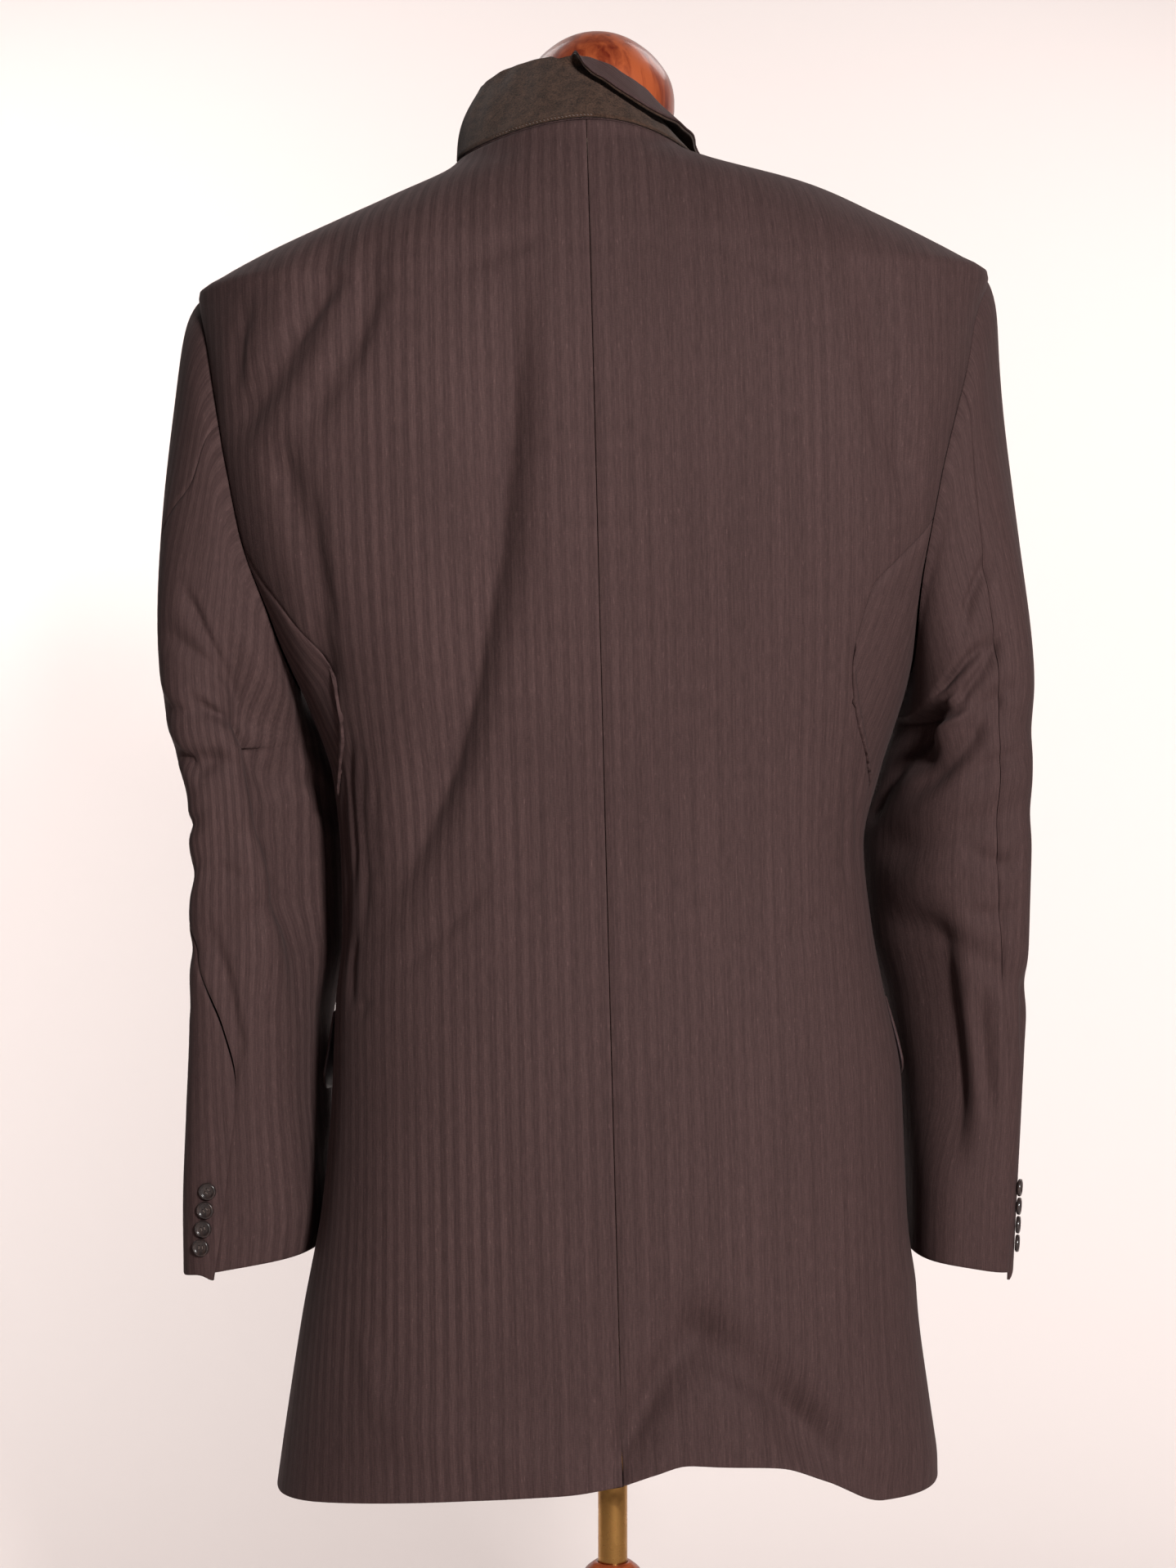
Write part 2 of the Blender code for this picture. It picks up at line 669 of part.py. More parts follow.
def trim(grid, wrap=False):
    """Draws the border of a grid in by half a seam."""
    grid = grid.copy()
    half = SEAM / 2

    def pull(edge, inside):
        return edge + unit(inside - edge) * half
    grid[0] = pull(grid[0], grid[1])
    grid[-1] = pull(grid[-1], grid[-2])
    if not wrap:
        grid[:, 0] = pull(grid[:, 0], grid[:, 1])
        grid[:, -1] = pull(grid[:, -1], grid[:, -2])
    return grid


def leaned(points):
    """The garment's upright frame turned on the pole."""
    points = np.asarray(points, float) - LEAN_AT
    x = points[..., 0] * cos(LEAN) + points[..., 2] * sin(LEAN) + ASIDE
    z = points[..., 2] * cos(LEAN) - points[..., 0] * sin(LEAN)
    return np.stack([x, points[..., 1], z], axis=-1) + LEAN_AT


def material(name, colour, roughness, metallic=0.0):
    made = bpy.data.materials.new(name)
    made.use_nodes = True
    shader = made.node_tree.nodes["Principled BSDF"]
    shader.inputs["Base Color"].default_value = (*colour, 1)
    shader.inputs["Roughness"].default_value = roughness
    shader.inputs["Metallic"].default_value = metallic
    return made


def add(name, points, faces, look):
    """One object from points in millimetres."""
    mesh = bpy.data.meshes.new(name)
    mesh.from_pydata((np.asarray(points) * MM).tolist(), [], faces)
    mesh.materials.append(look)
    mesh.shade_smooth()
    mesh.set_sharp_from_angle(angle=radians(40))
    made = bpy.data.objects.new(name, mesh)
    bpy.context.scene.collection.objects.link(made)
    return made


def cloth(name, outer, inner, look, flip=False):
    """A closed wall between two grids of the same size."""
    outer = leaned(trim(outer))
    inner = leaned(trim(inner))
    rows, columns = outer.shape[:2]
    points = np.concatenate([outer.reshape(-1, 3), inner.reshape(-1, 3)])
    far = rows * columns
    faces = []
    for r in range(rows - 1):
        for c in range(columns - 1):
            a = r * columns + c
            b = a + 1
            d = a + columns
            e = d + 1
            faces.append((a, b, e))
            faces.append((a, e, d))
            faces.append((far + a, far + e, far + b))
            faces.append((far + a, far + d, far + e))
    ring = [r * columns for r in range(rows - 1, 0, -1)]
    ring += list(range(columns - 1))
    ring += [r * columns + columns - 1 for r in range(rows - 1)]
    ring += [(rows - 1) * columns + c for c in range(columns - 1, 0, -1)]
    for k, a in enumerate(ring):
        b = ring[(k + 1) % len(ring)]
        # Both sides of a seam split their edge on the same diagonal
        if a < b:
            faces.append((b, a, far + a))
            faces.append((b, far + a, far + b))
        else:
            faces.append((b, a, far + b))
            faces.append((a, far + a, far + b))
    if flip:
        faces = [face[::-1] for face in faces]
    return add(name, points, faces, look)


def turned(name, profile, look, around=28, bore=None):
    """A solid of revolution about +Z from (radius, height) rows, lowest first."""
    angle = np.arange(around) * 2 * pi / around
    rings = []
    points = []
    for radius, height in profile:
        if radius < 1e-6:
            rings.append([len(points)])
            points.append((0.0, 0.0, height))
            continue
        rings.append(list(range(len(points), len(points) + around)))
        points += [(radius * cos(a), radius * sin(a), height) for a in angle]
    faces = []
    for low, high in zip(rings, rings[1:]):
        for k in range(around):
            n = (k + 1) % around
            if len(high) == 1:
                faces.append((low[k], low[n], high[0]))
            elif len(low) == 1:
                faces.append((low[0], high[n], high[k]))
            else:
                faces.append((low[k], low[n], high[n], high[k]))
    if bore is None:
        if len(rings[0]) > 1:
            faces.append(tuple(reversed(rings[0])))
        if len(rings[-1]) > 1:
            faces.append(tuple(rings[-1]))
    else:
        for k in range(around):
            n = (k + 1) % around
            faces.append((rings[-1][k], rings[-1][n], rings[0][n], rings[0][k]))
    return add(name, points, faces, look)


def button(name, centre, out, up, radius, thick, look):
    """A sewn button: a low disc with a raised rim, facing out."""
    out = unit(np.asarray(out, float))
    right = unit(np.cross(up, out))
    rise = np.cross(out, right)
    profile = ((0.80, 0), (1.0, 0.35), (0.98, 0.8), (0.84, 1.0), (0.66, 0.7))
    around = 12
    rings = []
    points = []
    for r, h in profile:
        rings.append(list(range(len(points), len(points) + around)))
        for k in range(around):
            a = 2 * pi * k / around
            flat = right * cos(a) + rise * sin(a)
            points.append(centre + flat * radius * r + out * thick * h)
    faces = [tuple(reversed(rings[0])), tuple(rings[-1])]
    for low, high in zip(rings, rings[1:]):
        for k in range(around):
            n = (k + 1) % around
            faces.append((low[k], low[n], high[n], high[k]))
    return add(name, leaned(np.array(points)), faces, look)


def lapel_faces(side):
    """The lapel, laid on the front panel from its roll line."""
    v = np.linspace(0, 1, LAPEL_ROWS + 1)[:, None]
    u = np.linspace(0, 1, LAPEL_COLUMNS + 1)[None, :]
    # The right lapel starts where it comes out from under the left front
    first = LAPEL_EDGE[0][0] + (26 if side < 0 else 0)
    inner_z = first + (GORGE - 1.5 - first) * v
    outer_z = first + (LAPEL_EDGE[-1][0] - first) * v
    inner_x = smooth(FRONT_EDGE, 1, inner_z) + 0.8
    if side < 0:
        inner_x = np.maximum(inner_x, 4.8 - inner_x)
    outer_x = smooth(LAPEL_EDGE, 1, outer_z)
    x = inner_x + (outer_x - inner_x) * u
    z = inner_z + (outer_z - inner_z) * u
    turn = turn_at_across(x, z, side)
    base, _ = body_faces(turn, z, side, lapped=True)
    out = body_normal(turn, z, side)
    roll = 4.5 * np.sin(pi * np.clip(u * 1.1, 0, 1)) * ease(v * 6)
    under = LAY + roll
    return base + out * (under + WALL)[..., None], base + out * under[..., None]


def on_body(turns, top, bottom, side, rows, columns, stand_off):
    """A patch lying on the body: its two faces, and stand_off(u, v) lifts it further."""
    v = np.linspace(0, 1, rows + 1)[:, None]
    u = np.linspace(0, 1, columns + 1)[None, :]
    turn = radians(turns[0]) + radians(turns[1] - turns[0]) * u + 0 * v
    z = bottom + (top - bottom) * v + 0 * u
    base, _ = body_faces(turn, z, side)
    out = body_normal(turn, z, side)
    under = LAY + stand_off(u, v)
    return base + out * (under + 1.6)[..., None], base + out * under[..., None]


def build_body(wool):
    for side, word in ((1, "left"), (-1, "right")):
        flip = side > 0
        turn, height = panel_rows(LEVELS, centre_back, side_seam(side), side, BACK_COLUMNS)
        cloth(f"back_{word}", *body_faces(turn, height, side), wool, flip)
        turn, height = side_panel_grid(side)
        cloth(f"side_{word}", *body_faces(turn, height, side), wool, flip)
        turn, height = panel_rows(LEVELS, front_seam(side), front_edge(side), side, FRONT_COLUMNS)
        cloth(f"front_{word}", *body_faces(turn, height, side, True), wool, flip)
        outer, inner = lapel_faces(side)
        cloth(f"lapel_{word}", outer, inner, wool, side < 0)


def build_vent(wool):
    """The right back's underlap, behind the left back's edge."""
    levels = np.array([z for z in LEVELS if z < VENT_TOP], float)[:, None]
    turn, height = panel_rows(levels[:, 0], centre_back, side_seam(1), 1, BACK_COLUMNS)
    outer, inner = body_faces(turn[:, :2], height[:, :2], 1)
    out = (inner - outer) / WALL
    cloth("vent_underlap", inner + out * LAY, inner + out * (LAY + 1.6), wool, True)


def build_sleeves(wool, horn):
    for side, word in ((1, "left"), (-1, "right")):
        sleeve = Sleeve(side)
        flip = side > 0
        upper = np.linspace(0, 1, CAP_ROWS + 1) * sleeve.cap_share
        lower = np.linspace(sleeve.cap_share, 1, ARM_LEVELS + 1)[1:]
        share = np.concatenate([upper, lower])[:, None]
        hind = sleeve.hindarm(share)
        fore = radians(FOREARM)
        u = np.array(TOP_COLUMNS)[None, :]
        angle = (fore - 2 * pi) * (1 - u) + hind * u
        cloth(f"top_sleeve_{word}", *sleeve.faces(angle, share), wool, flip)
        u = np.array(UNDER_COLUMNS)[None, :]
        angle = hind * (1 - u) + fore * u
        cloth(f"under_sleeve_{word}", *sleeve.faces(angle, share), wool, flip)
        long = SLEEVE_TOP - sleeve.cuff
        for k in range(4):
            at = 1 - (CUFF_FIRST + CUFF_PITCH * k) / long * (1 - sleeve.cap_share)
            hind = float(sleeve.hindarm(at))
            turn = np.float64((fore - 2 * pi) * 0.07 + hind * 0.93)
            centre = sleeve.point(turn, at)
            out = sleeve.smooth_normal(turn, at)
            button(f"cuff_button_{word}_{k + 1}", centre + out * 0.5, out, (0, 0, 1),
                   CUFF_BUTTON / 2, 2.6, horn)


def build_collar(wool, felt):
    share = collar_stations()[:, None]
    fold = smooth(COLLAR, 2, share)
    width = smooth(COLLAR, 5, share)
    reach = pi * FOLD_RADIUS
    knots = (1.5 + 0 * fold, fold * 0.5, fold - reach / 2, fold - reach / 6, fold + reach / 6,
             fold + reach / 2, (fold + reach / 2 + width) / 2)
    across = np.concatenate([np.minimum(k, width - 1) for k in knots] + [width], axis=1)
    across = np.maximum.accumulate(across + np.arange(8)[None, :] * 0.02, axis=1)
    share = share + 0 * across
    cloth("undercollar", *collar_faces(share, across, -0.15 - COLLAR_LAYER, -0.15), felt)
    cloth("upper_collar", *collar_faces(share, across, 0.2, 0.2 + COLLAR_LAYER), wool)


def build_pockets(wool):
    for side, word in ((1, "left"), (-1, "right")):
        lift = 5.0 if side > 0 else 2.0

        def hang(u, v, lift=lift):
            return 0.2 + lift * (1 - v) * (1 - 0.6 * u)
        outer, inner = on_body(FLAP_TURNS, FLAP_TOP, FLAP_BOTTOM, side, 3, 7, hang)
        cloth(f"pocket_flap_{word}", outer, inner, wool, side > 0)
    outer, inner = on_body(WELT_TURNS, WELT_TOP, WELT_BOTTOM, 1, 1, 4, lambda u, v: 0.2 + 0 * u * v)
    cloth("breast_welt", outer, inner, wool, True)


def build_front_buttons(horn):
    for k, z in enumerate((BREAK - 14, BREAK - 114)):
        turn = np.float64(pi)
        base, _ = body_faces(turn, np.float64(z), 1, True)
        out = body_normal(turn, np.float64(z), 1)
        button(f"front_button_{k + 1}", base + out * 0.5, out, (0, 0, 1),
               FRONT_BUTTON / 2, 3.6, horn)


def build_form(linen, mahogany, brass):
    around = 28
    angle = np.arange(around) * 2 * pi / around
    rings = []
    points = []

    def ring(centre_y, half, back, front, square, height, centre_x=0.0):
        c = np.cos(angle)
        s = np.sin(angle)
        size = (np.abs(c) ** square + np.abs(s) ** square) ** (-1 / square)
        rings.append(list(range(len(points), len(points) + around)))
        for k in range(around):
            depth = back if c[k] > 0 else front
            x = centre_x + half * size[k] * s[k]
            points.append((x, centre_y + depth * size[k] * c[k], height))
    hole = POLE_RADIUS + 0.3
    ring(0, hole, hole, hole, 2, POLE_TOP + 0.3)
    ring(0, hole, hole, hole, 2, FORM[0][0] - 3)
    ring(0, FORM[0][1] - 6, FORM[0][2] - 6, FORM[0][3] - 6, 2.3, FORM[0][0] - 3)
    for height, half, back, front, square, forward, aside in FORM:
        ring(-forward, half, back, front, square, height, -aside)
    shape = leaned(points)
    # The socket stays upright on the pole
    upright = len(rings[0]) * 2
    shape[:upright] = np.array(points)[:upright]
    faces = [tuple(rings[0]), tuple(reversed(rings[-1]))]
    for low, high in zip(rings, rings[1:]):
        for k in range(around):
            n = (k + 1) % around
            faces.append((low[k], high[k], high[n], low[n]))
    add("form_torso", shape, faces, linen)
    cap = turned("form_neck_cap", CAP, mahogany)
    for corner in cap.data.vertices:
        place = np.array(corner.co) / MM
        place -= (NECK_ASIDE, NECK_FORWARD, 0)
        corner.co = leaned(place) * MM
    turned("stand_pole", ((POLE_RADIUS, POLE_FOOT), (POLE_RADIUS, POLE_TOP)), brass, 20)
    bore = POLE_RADIUS + 0.3
    profile = ((bore, COLUMN[0][1]),) + COLUMN + ((bore, COLUMN[-1][1]),)
    turned("stand_column", profile, mahogany, 24, bore)
    turned("stand_base", BASE, mahogany, 40)


def main():
    for old in list(bpy.data.objects):
        bpy.data.objects.remove(old, do_unlink=True)
    wool = material("wool", (0.072, 0.048, 0.046), 0.75)
    felt = material("felt", (0.060, 0.046, 0.038), 0.95)
    horn = material("horn", (0.022, 0.018, 0.017), 0.35)
    linen = material("linen", (0.62, 0.54, 0.42), 0.9)
    mahogany = material("mahogany", (0.16, 0.035, 0.018), 0.3)
    brass = material("brass", (0.45, 0.30, 0.13), 0.35, 0.9)
    build_body(wool)
    build_vent(wool)
    build_sleeves(wool, horn)
    build_collar(wool, felt)
    build_pockets(wool)
    build_front_buttons(horn)
    build_form(linen, mahogany, brass)


main()
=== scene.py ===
"""A men's wool blazer on a limbless dress form with a turned stand.

The frame is in metres, +Z up; the wearer faces -Y and the wearer's left is +X. The tables
are in millimetres. The garment and its form are worked out upright and then leaned by LEAN.
"""

from math import cos, pi, radians, sin

import bmesh
import bpy
import numpy as np
from bpy.props import FloatProperty, FloatVectorProperty, IntProperty, PointerProperty
from mathutils import Matrix, Vector


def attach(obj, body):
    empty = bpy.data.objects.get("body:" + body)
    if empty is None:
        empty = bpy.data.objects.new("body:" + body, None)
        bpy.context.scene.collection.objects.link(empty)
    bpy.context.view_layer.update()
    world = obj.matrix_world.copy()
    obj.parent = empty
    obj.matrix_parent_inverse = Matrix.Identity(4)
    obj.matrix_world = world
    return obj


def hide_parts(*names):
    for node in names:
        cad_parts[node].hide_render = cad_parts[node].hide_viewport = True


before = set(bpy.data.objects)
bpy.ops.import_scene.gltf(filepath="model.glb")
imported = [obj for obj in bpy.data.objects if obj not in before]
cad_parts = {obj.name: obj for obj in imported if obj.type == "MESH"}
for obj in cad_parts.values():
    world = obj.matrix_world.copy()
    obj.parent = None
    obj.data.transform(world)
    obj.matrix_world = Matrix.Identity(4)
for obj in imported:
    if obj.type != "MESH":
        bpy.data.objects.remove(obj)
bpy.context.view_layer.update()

bl_info = {
    "name": "Blazer on a dress form",
    "version": (1, 0, 0),
    "blender": (4, 5, 0),
    "location": "3D View > Sidebar > Blazer",
    "description": "Builds a tailored wool blazer, its dress form and its stand",
    "category": "Object",
}

MM = 0.001
WIDEST = 1.6  # a cut's widest row counts at most this many times its mean width
SIDES = ((1, "left"), (-1, "right"))

# Body of the jacket

BODY = (
    # height, left, right, back, front, square
    (285, 225, 205, 144, 132, 2.3),
    (350, 214, 196, 140, 128, 2.3),
    (410, 203, 190, 135, 124, 2.3),
    (480, 189, 188, 128, 121, 2.3),
    (550, 181, 187, 118, 118, 2.3),
    (610, 177, 177, 109, 117, 2.3),
    (650, 172, 171, 104, 117, 2.3),
    (700, 171, 167, 101, 118, 2.35),
    (750, 174, 179, 104, 122, 2.4),
    (800, 189, 196, 111, 126, 2.6),
    (850, 212, 208, 119, 128, 2.9),
    (905, 234, 222, 126, 126, 3.0),
    (960, 243, 233, 129, 121, 3.0),
    (1000, 247, 243, 129, 114, 2.8),
    (1040, 251, 250, 123, 102, 2.5),
    (1066, 253, 257, 115, 91, 2.3),
    (1076, 238, 242, 111, 87, 2.3),
    (1085, 221, 227, 108, 83, 2.25),
    (1105, 178, 190, 98, 76, 2.15),
    (1125, 132, 150, 86, 70, 2.0),
    (1145, 89, 83, 73, 65, 1.85),
    (1151, 83, 68, 69, 63, 1.85),
    (1162, 71, 62, 64, 61, 1.9),
)
HEM = 310
SHOULDER = 1066
NECK = 1162
NECK_DROP = 12  # the neckline lies this much lower at its sides
JUNCTION = 905  # where the two side seams run into the armhole
UNDERARM = 812
HEM_FADE = 150  # height over which the rows lose the waves of the hem

HEM_BACK = (
    # across, height
    (-225, 304), (-195, 297), (-165, 299), (-130, 317), (-100, 329), (-56, 334), (-40, 335),
    (-20, 330), (8, 322), (60, 318), (103, 315), (165, 309), (225, 300),
)
HEM_FRONT = 300
SIDE_SEAM = (
    # height, depth on the left, on the right
    (285, 10, 10), (550, 6, 6), (650, 6, 6), (700, 8, 9), (755, 40, 50), (796, 68, 78),
    (832, 77, 91), (862, 73, 94), (881, 68, 86), (905, 63, 66),
)
FRONT_SEAM = ((285, -52), (550, -46), (700, -42), (800, -46), (905, -58))
ARMHOLE = (
    # height, depth behind, in front
    (905, 63, -58), (935, 64, -60), (968, 60, -57), (1000, 52, -49), (1030, 40, -38),
    (1051, 23, -22), (1066, 0, 0),
)
FRONT_EDGE = (
    # height, across
    (285, 64), (310, 40), (335, 16), (370, -5), (420, -16), (470, -18), (690, -18), (705, -14),
    (1100, 84),
)
NECK_POINT = radians(97)  # turn at which the neckline of the front leaves the shoulder seam
NECK_CURVE = 0.61
NECK_SHARE = 0.56  # share of half the neckline that lies behind this point
BREAK = 705
RIGHT_BREAK = 26  # the right lapel starts to roll this much higher
LAPEL_ROLL = 4.5
LAPEL_LENGTH = 350  # about its length and width, for the spacing of rows and columns
LAPEL_WIDTH = 75
GORGE = 1100
LAP_FROM = 60  # where the left front starts to rise over the right
PANEL_WIDTH = 165  # about the width of a back or a front panel, for the spacing of its columns
LOW_ROWS = 738  # rows of the side panel are level up to here
LAPEL_EDGE = (
    # height, across
    (712, -8), (750, 26), (800, 50), (850, 71), (900, 90), (950, 108), (1000, 125), (1035, 137),
    (1062, 145),
)
LEAN = radians(1.5)
LEAN_AT = (-4.0, 0.0, 320.0)
ASIDE = -5.0  # the garment and its form hang this far off the pole's line
LAY = 0.8  # between a piece and the panel that it lies on
HANG = 0.2  # further room under a flap and the welt
THIN_WALL = 1.6  # cloth of the underlap, the flaps and the welt

# Large folds of the back: a bowed line with a half width and a depth, positive outwards
FOLDS = (
    # from x, from z, to x, to z, bow, half width, depth
    (30, 1040, 28, 860, 4, 22, 2.5),
    (164, 1075, 212, 985, 8, 14, -6.5),
    (136, 1070, 168, 985, 6, 12, -4.5),
    (190, 940, 172, 820, 4, 11, -5.0),
    (-172, 1040, -188, 940, -5, 12, -6.0),
    (-45, 408, 4, 330, -6, 16, -8.0),
    (-52, 408, -112, 350, 8, 18, -9.0),
    (-110, 350, -165, 298, -4, 22, -7.0),
    (-75, 372, -60, 320, 0, 26, 4.0),
    (130, 360, 40, 330, 0, 24, 3.0),
    (-190, 420, -196, 320, 0, 18, 4.0),
)
# Finer creases of the back: half widths left and right of the line as it runs, seen from
# behind, then depth and line
CREASES = (
    (14, 26, -5.4, ((38, 1085), (47, 1022), (52, 960), (61, 885), (72, 840), (82, 798), (96, 758),
                   (118, 709), (140, 668), (158, 632))),
    (4, 7, -1.0, ((38, 1050), (44, 1010), (50, 960), (59, 885), (70, 840), (80, 798), (94, 758),
                  (116, 709), (136, 672), (150, 648))),
    (4, 8, -1.4, ((144, 1074), (160, 1054), (174, 1038), (188, 1021), (196, 1003))),
    (4, 8, -1.3, ((122, 1065), (132, 1044), (141, 1020), (149, 990))),
    (4, 7, -1.4, ((210, 1059), (219, 1025), (223, 985))),
    (4, 7, -1.2, ((172, 940), (171, 893), (167, 859), (160, 836))),
    (7, 4, -1.7, ((-175, 1030), (-183, 1000), (-188, 967), (-190, 938))),
    (6, 4, -1.0, ((-160, 1010), (-170, 975), (-174, 940))),
    (6, 12, -1.6, ((-37, 410), (-24, 384), (-8, 356), (8, 330))),
    (10, 5, -1.8, ((-38, 408), (-60, 392), (-87, 377), (-120, 352), (-145, 308))),
    (5, 5, -0.8, ((-117, 580), (-124, 566), (-133, 552))),
    (9, 6, 0.9, ((160, 420), (153, 390), (148, 355))),
    (4, 4, -0.7, ((150, 616), (156, 607), (161, 600))),
    (6, 10, -1.0, ((20, 1090), (40, 1078), (70, 1066), (96, 1058))),
    (8, 5, -0.9, ((-60, 1080), (-90, 1068), (-120, 1050), (-140, 1028))),
    (7, 7, -0.8, ((-96, 640), (-120, 652), (-146, 660))),
    (5, 9, -0.9, ((60, 700), (90, 668), (120, 640), (146, 622))),
)
# Short upright wrinkles pressed into the waist, by half width, depth and line
WAIST = (
    (2.6, 2.6, -1.0, ((150, 780), (153, 735), (152, 690), (155, 640))),
    (2.4, 2.4, -1.1, ((157, 790), (160, 750), (159, 705), (162, 668))),
    (2.6, 2.6, -1.0, ((164, 775), (166, 730), (165, 690), (168, 625))),
    (2.4, 2.4, -0.8, ((143, 760), (146, 720), (145, 680))),
    (2.4, 2.4, -0.9, ((159, 660), (162, 635), (163, 602))),
    (2.8, 2.8, -0.9, ((-150, 770), (-153, 730), (-152, 690), (-156, 655))),
    (2.6, 2.6, -0.8, ((-159, 760), (-161, 715), (-160, 676))),
)
# Creases of the unseen front: the pull of the fastened button, and the drape of the skirt
FRONT_CREASES = (
    (6, 9, -1.8, ((14, 694), (52, 706), (94, 716), (132, 718))),
    (9, 6, -1.6, ((18, 684), (58, 674), (98, 662), (128, 646))),
    (6, 10, -1.6, ((-24, 696), (-58, 710), (-100, 722), (-136, 720))),
    (9, 6, -1.4, ((-26, 684), (-62, 672), (-100, 656), (-130, 642))),
    (10, 16, -2.2, ((96, 520), (104, 440), (98, 370), (108, 312))),
    (14, 9, -2.0, ((-88, 510), (-98, 430), (-92, 360), (-104, 308))),
    (7, 12, -1.6, ((150, 1010), (158, 960), (156, 905), (146, 860))),
    (12, 7, -1.8, ((-148, 1014), (-160, 966), (-156, 900), (-144, 856))),
    (8, 8, -1.2, ((150, 560), (158, 480), (152, 400))),
    (8, 8, -1.2, ((-152, 540), (-160, 462), (-154, 390))),
)

# Sleeves

SLEEVE_LEFT = (
    # height, outer, inner, back, front, skew
    (775, 272, 181, 68, -70, 0.24),
    (740, 263, 171, 64, -71, 0.34),
    (700, 264, 170, 60, -72, 0.34),
    (650, 266, 171, 54, -73, 0.34),
    (600, 268, 183, 47, -72, 0.28),
    (540, 273, 188, 40, -70, 0.24),
    (480, 278, 187, 33, -67, 0.22),
    (425, 280, 199, 27, -64, 0.16),
)
SLEEVE_RIGHT = (
    (775, 274, 192, 66, -72, 0.15),
    (740, 272, 179, 62, -74, 0.26),
    (700, 271, 169, 57, -76, 0.30),
    (650, 269, 171, 51, -76, 0.30),
    (600, 267, 183, 46, -75, 0.24),
    (540, 263, 190, 41, -74, 0.20),
    (480, 260, 192, 37, -73, 0.10),
    (415, 256, 192, 34, -72, 0.06),
)
CUFF_LEFT = 441
CUFF_RIGHT = 430
CUFF_SLANT = 6  # the cuff hangs lower on its outer side
VENT_TIP = 5  # the corner of the sleeve vent hangs this much lower
TIP_WIDTH = 0.16  # in radians of turn
CAP_OUT = (0.28, 0.06)  # how far the sleeve springs out, left and right
HEAD = (4.5, 4)  # roll of the sleeve head
HEAD_AT = 0.07  # share of the cap where the head is fullest
BOW = (10, 4)  # how far the upper arm bows out
SLEEVE_TOP = 775
SLEEVE_SQUARE = 3.0  # squareness of the hanging sleeve's section
CAP_SHARE = 0.36
ARMHOLE_FLAT = 0.62  # flattens the armhole's height where turns round it are measured
UNDER_ANCHOR = radians(140)  # turn that the under sleeve's stripes are counted from
# Hindarm seam: turn round the sleeve from its outer side towards the back, in degrees
HINDARM = (
    # share of the sleeve's length, left, right
    (0.00, 68, 62), (0.08, 60, 66), (0.16, 36, 74), (0.24, 10, 80), (0.34, -6, 82),
    (0.44, 0, 82), (0.50, 14, 81), (0.58, 46, 78), (0.64, 66, 75), (0.70, 86, 71),
    (0.77, 98, 65), (0.85, 90, 56), (0.92, 82, 50), (1.00, 74, 46),
)
FOREARM = 236
SLEEVE_FOLDS = (
    # side, turn, length, to turn, to length, half width in turn, in length, depth
    (1, 100, 0.28, 150, 0.40, 16, 0.03, -6.0),
    (1, 30, 0.52, 120, 0.46, 40, 0.025, -3.5),
    (1, 60, 0.60, 130, 0.56, 40, 0.022, -3.0),
    (-1, 60, 0.36, 140, 0.30, 26, 0.028, -5.0),
    (-1, 70, 0.46, 150, 0.50, 30, 0.026, -5.0),
    (-1, 60, 0.66, 140, 0.60, 30, 0.024, -4.0),
)
# Creases of the sleeves, drawn in degrees of turn and thousandths of the length; the first
# half width lies towards the larger turn where the line runs down the sleeve
CREASES_LEFT = (
    (6, 10, -2.2, ((64, 176), (84, 190), (104, 215), (122, 250))),
    (10, 6, -2.0, ((40, 262), (66, 244), (96, 240), (128, 262))),
    (5, 9, -1.6, ((28, 306), (52, 322), (80, 318), (104, 300))),
    (8, 5, -1.8, ((44, 382), (70, 372), (96, 378), (124, 400))),
    (6, 8, -1.4, ((20, 440), (44, 452), (78, 446))),
    (5, 8, -1.2, ((60, 520), (88, 508), (118, 522))),
    (8, 6, -1.2, ((10, 610), (30, 640), (40, 690))),
    (9, 9, -1.6, ((-20, 60), (-26, 140), (-22, 220))),
    (8, 12, -1.6, ((-60, 300), (-40, 360), (-30, 430), (-34, 500))),
    (7, 7, -1.2, ((-90, 420), (-70, 450), (-46, 462))),
    (7, 7, -1.2, ((-84, 520), (-60, 505), (-40, 515))),
    (10, 8, -1.5, ((170, 380), (186, 420), (196, 470))),
    (40, 15, -10.5, ((116, 120), (120, 220), (124, 310), (132, 400), (144, 500), (152, 600),
                     (156, 720))),
    (20, 20, 1.6, ((196, 700), (200, 800), (198, 900))),
    (7, 7, -3.0, ((28, 350), (50, 372), (72, 388), (88, 378), (98, 352))),
    (7, 7, -4.0, ((70, 300), (98, 312), (124, 322))),
    (5, 12, -1.6, ((70, 560), (92, 640), (104, 720), (92, 800))),
)
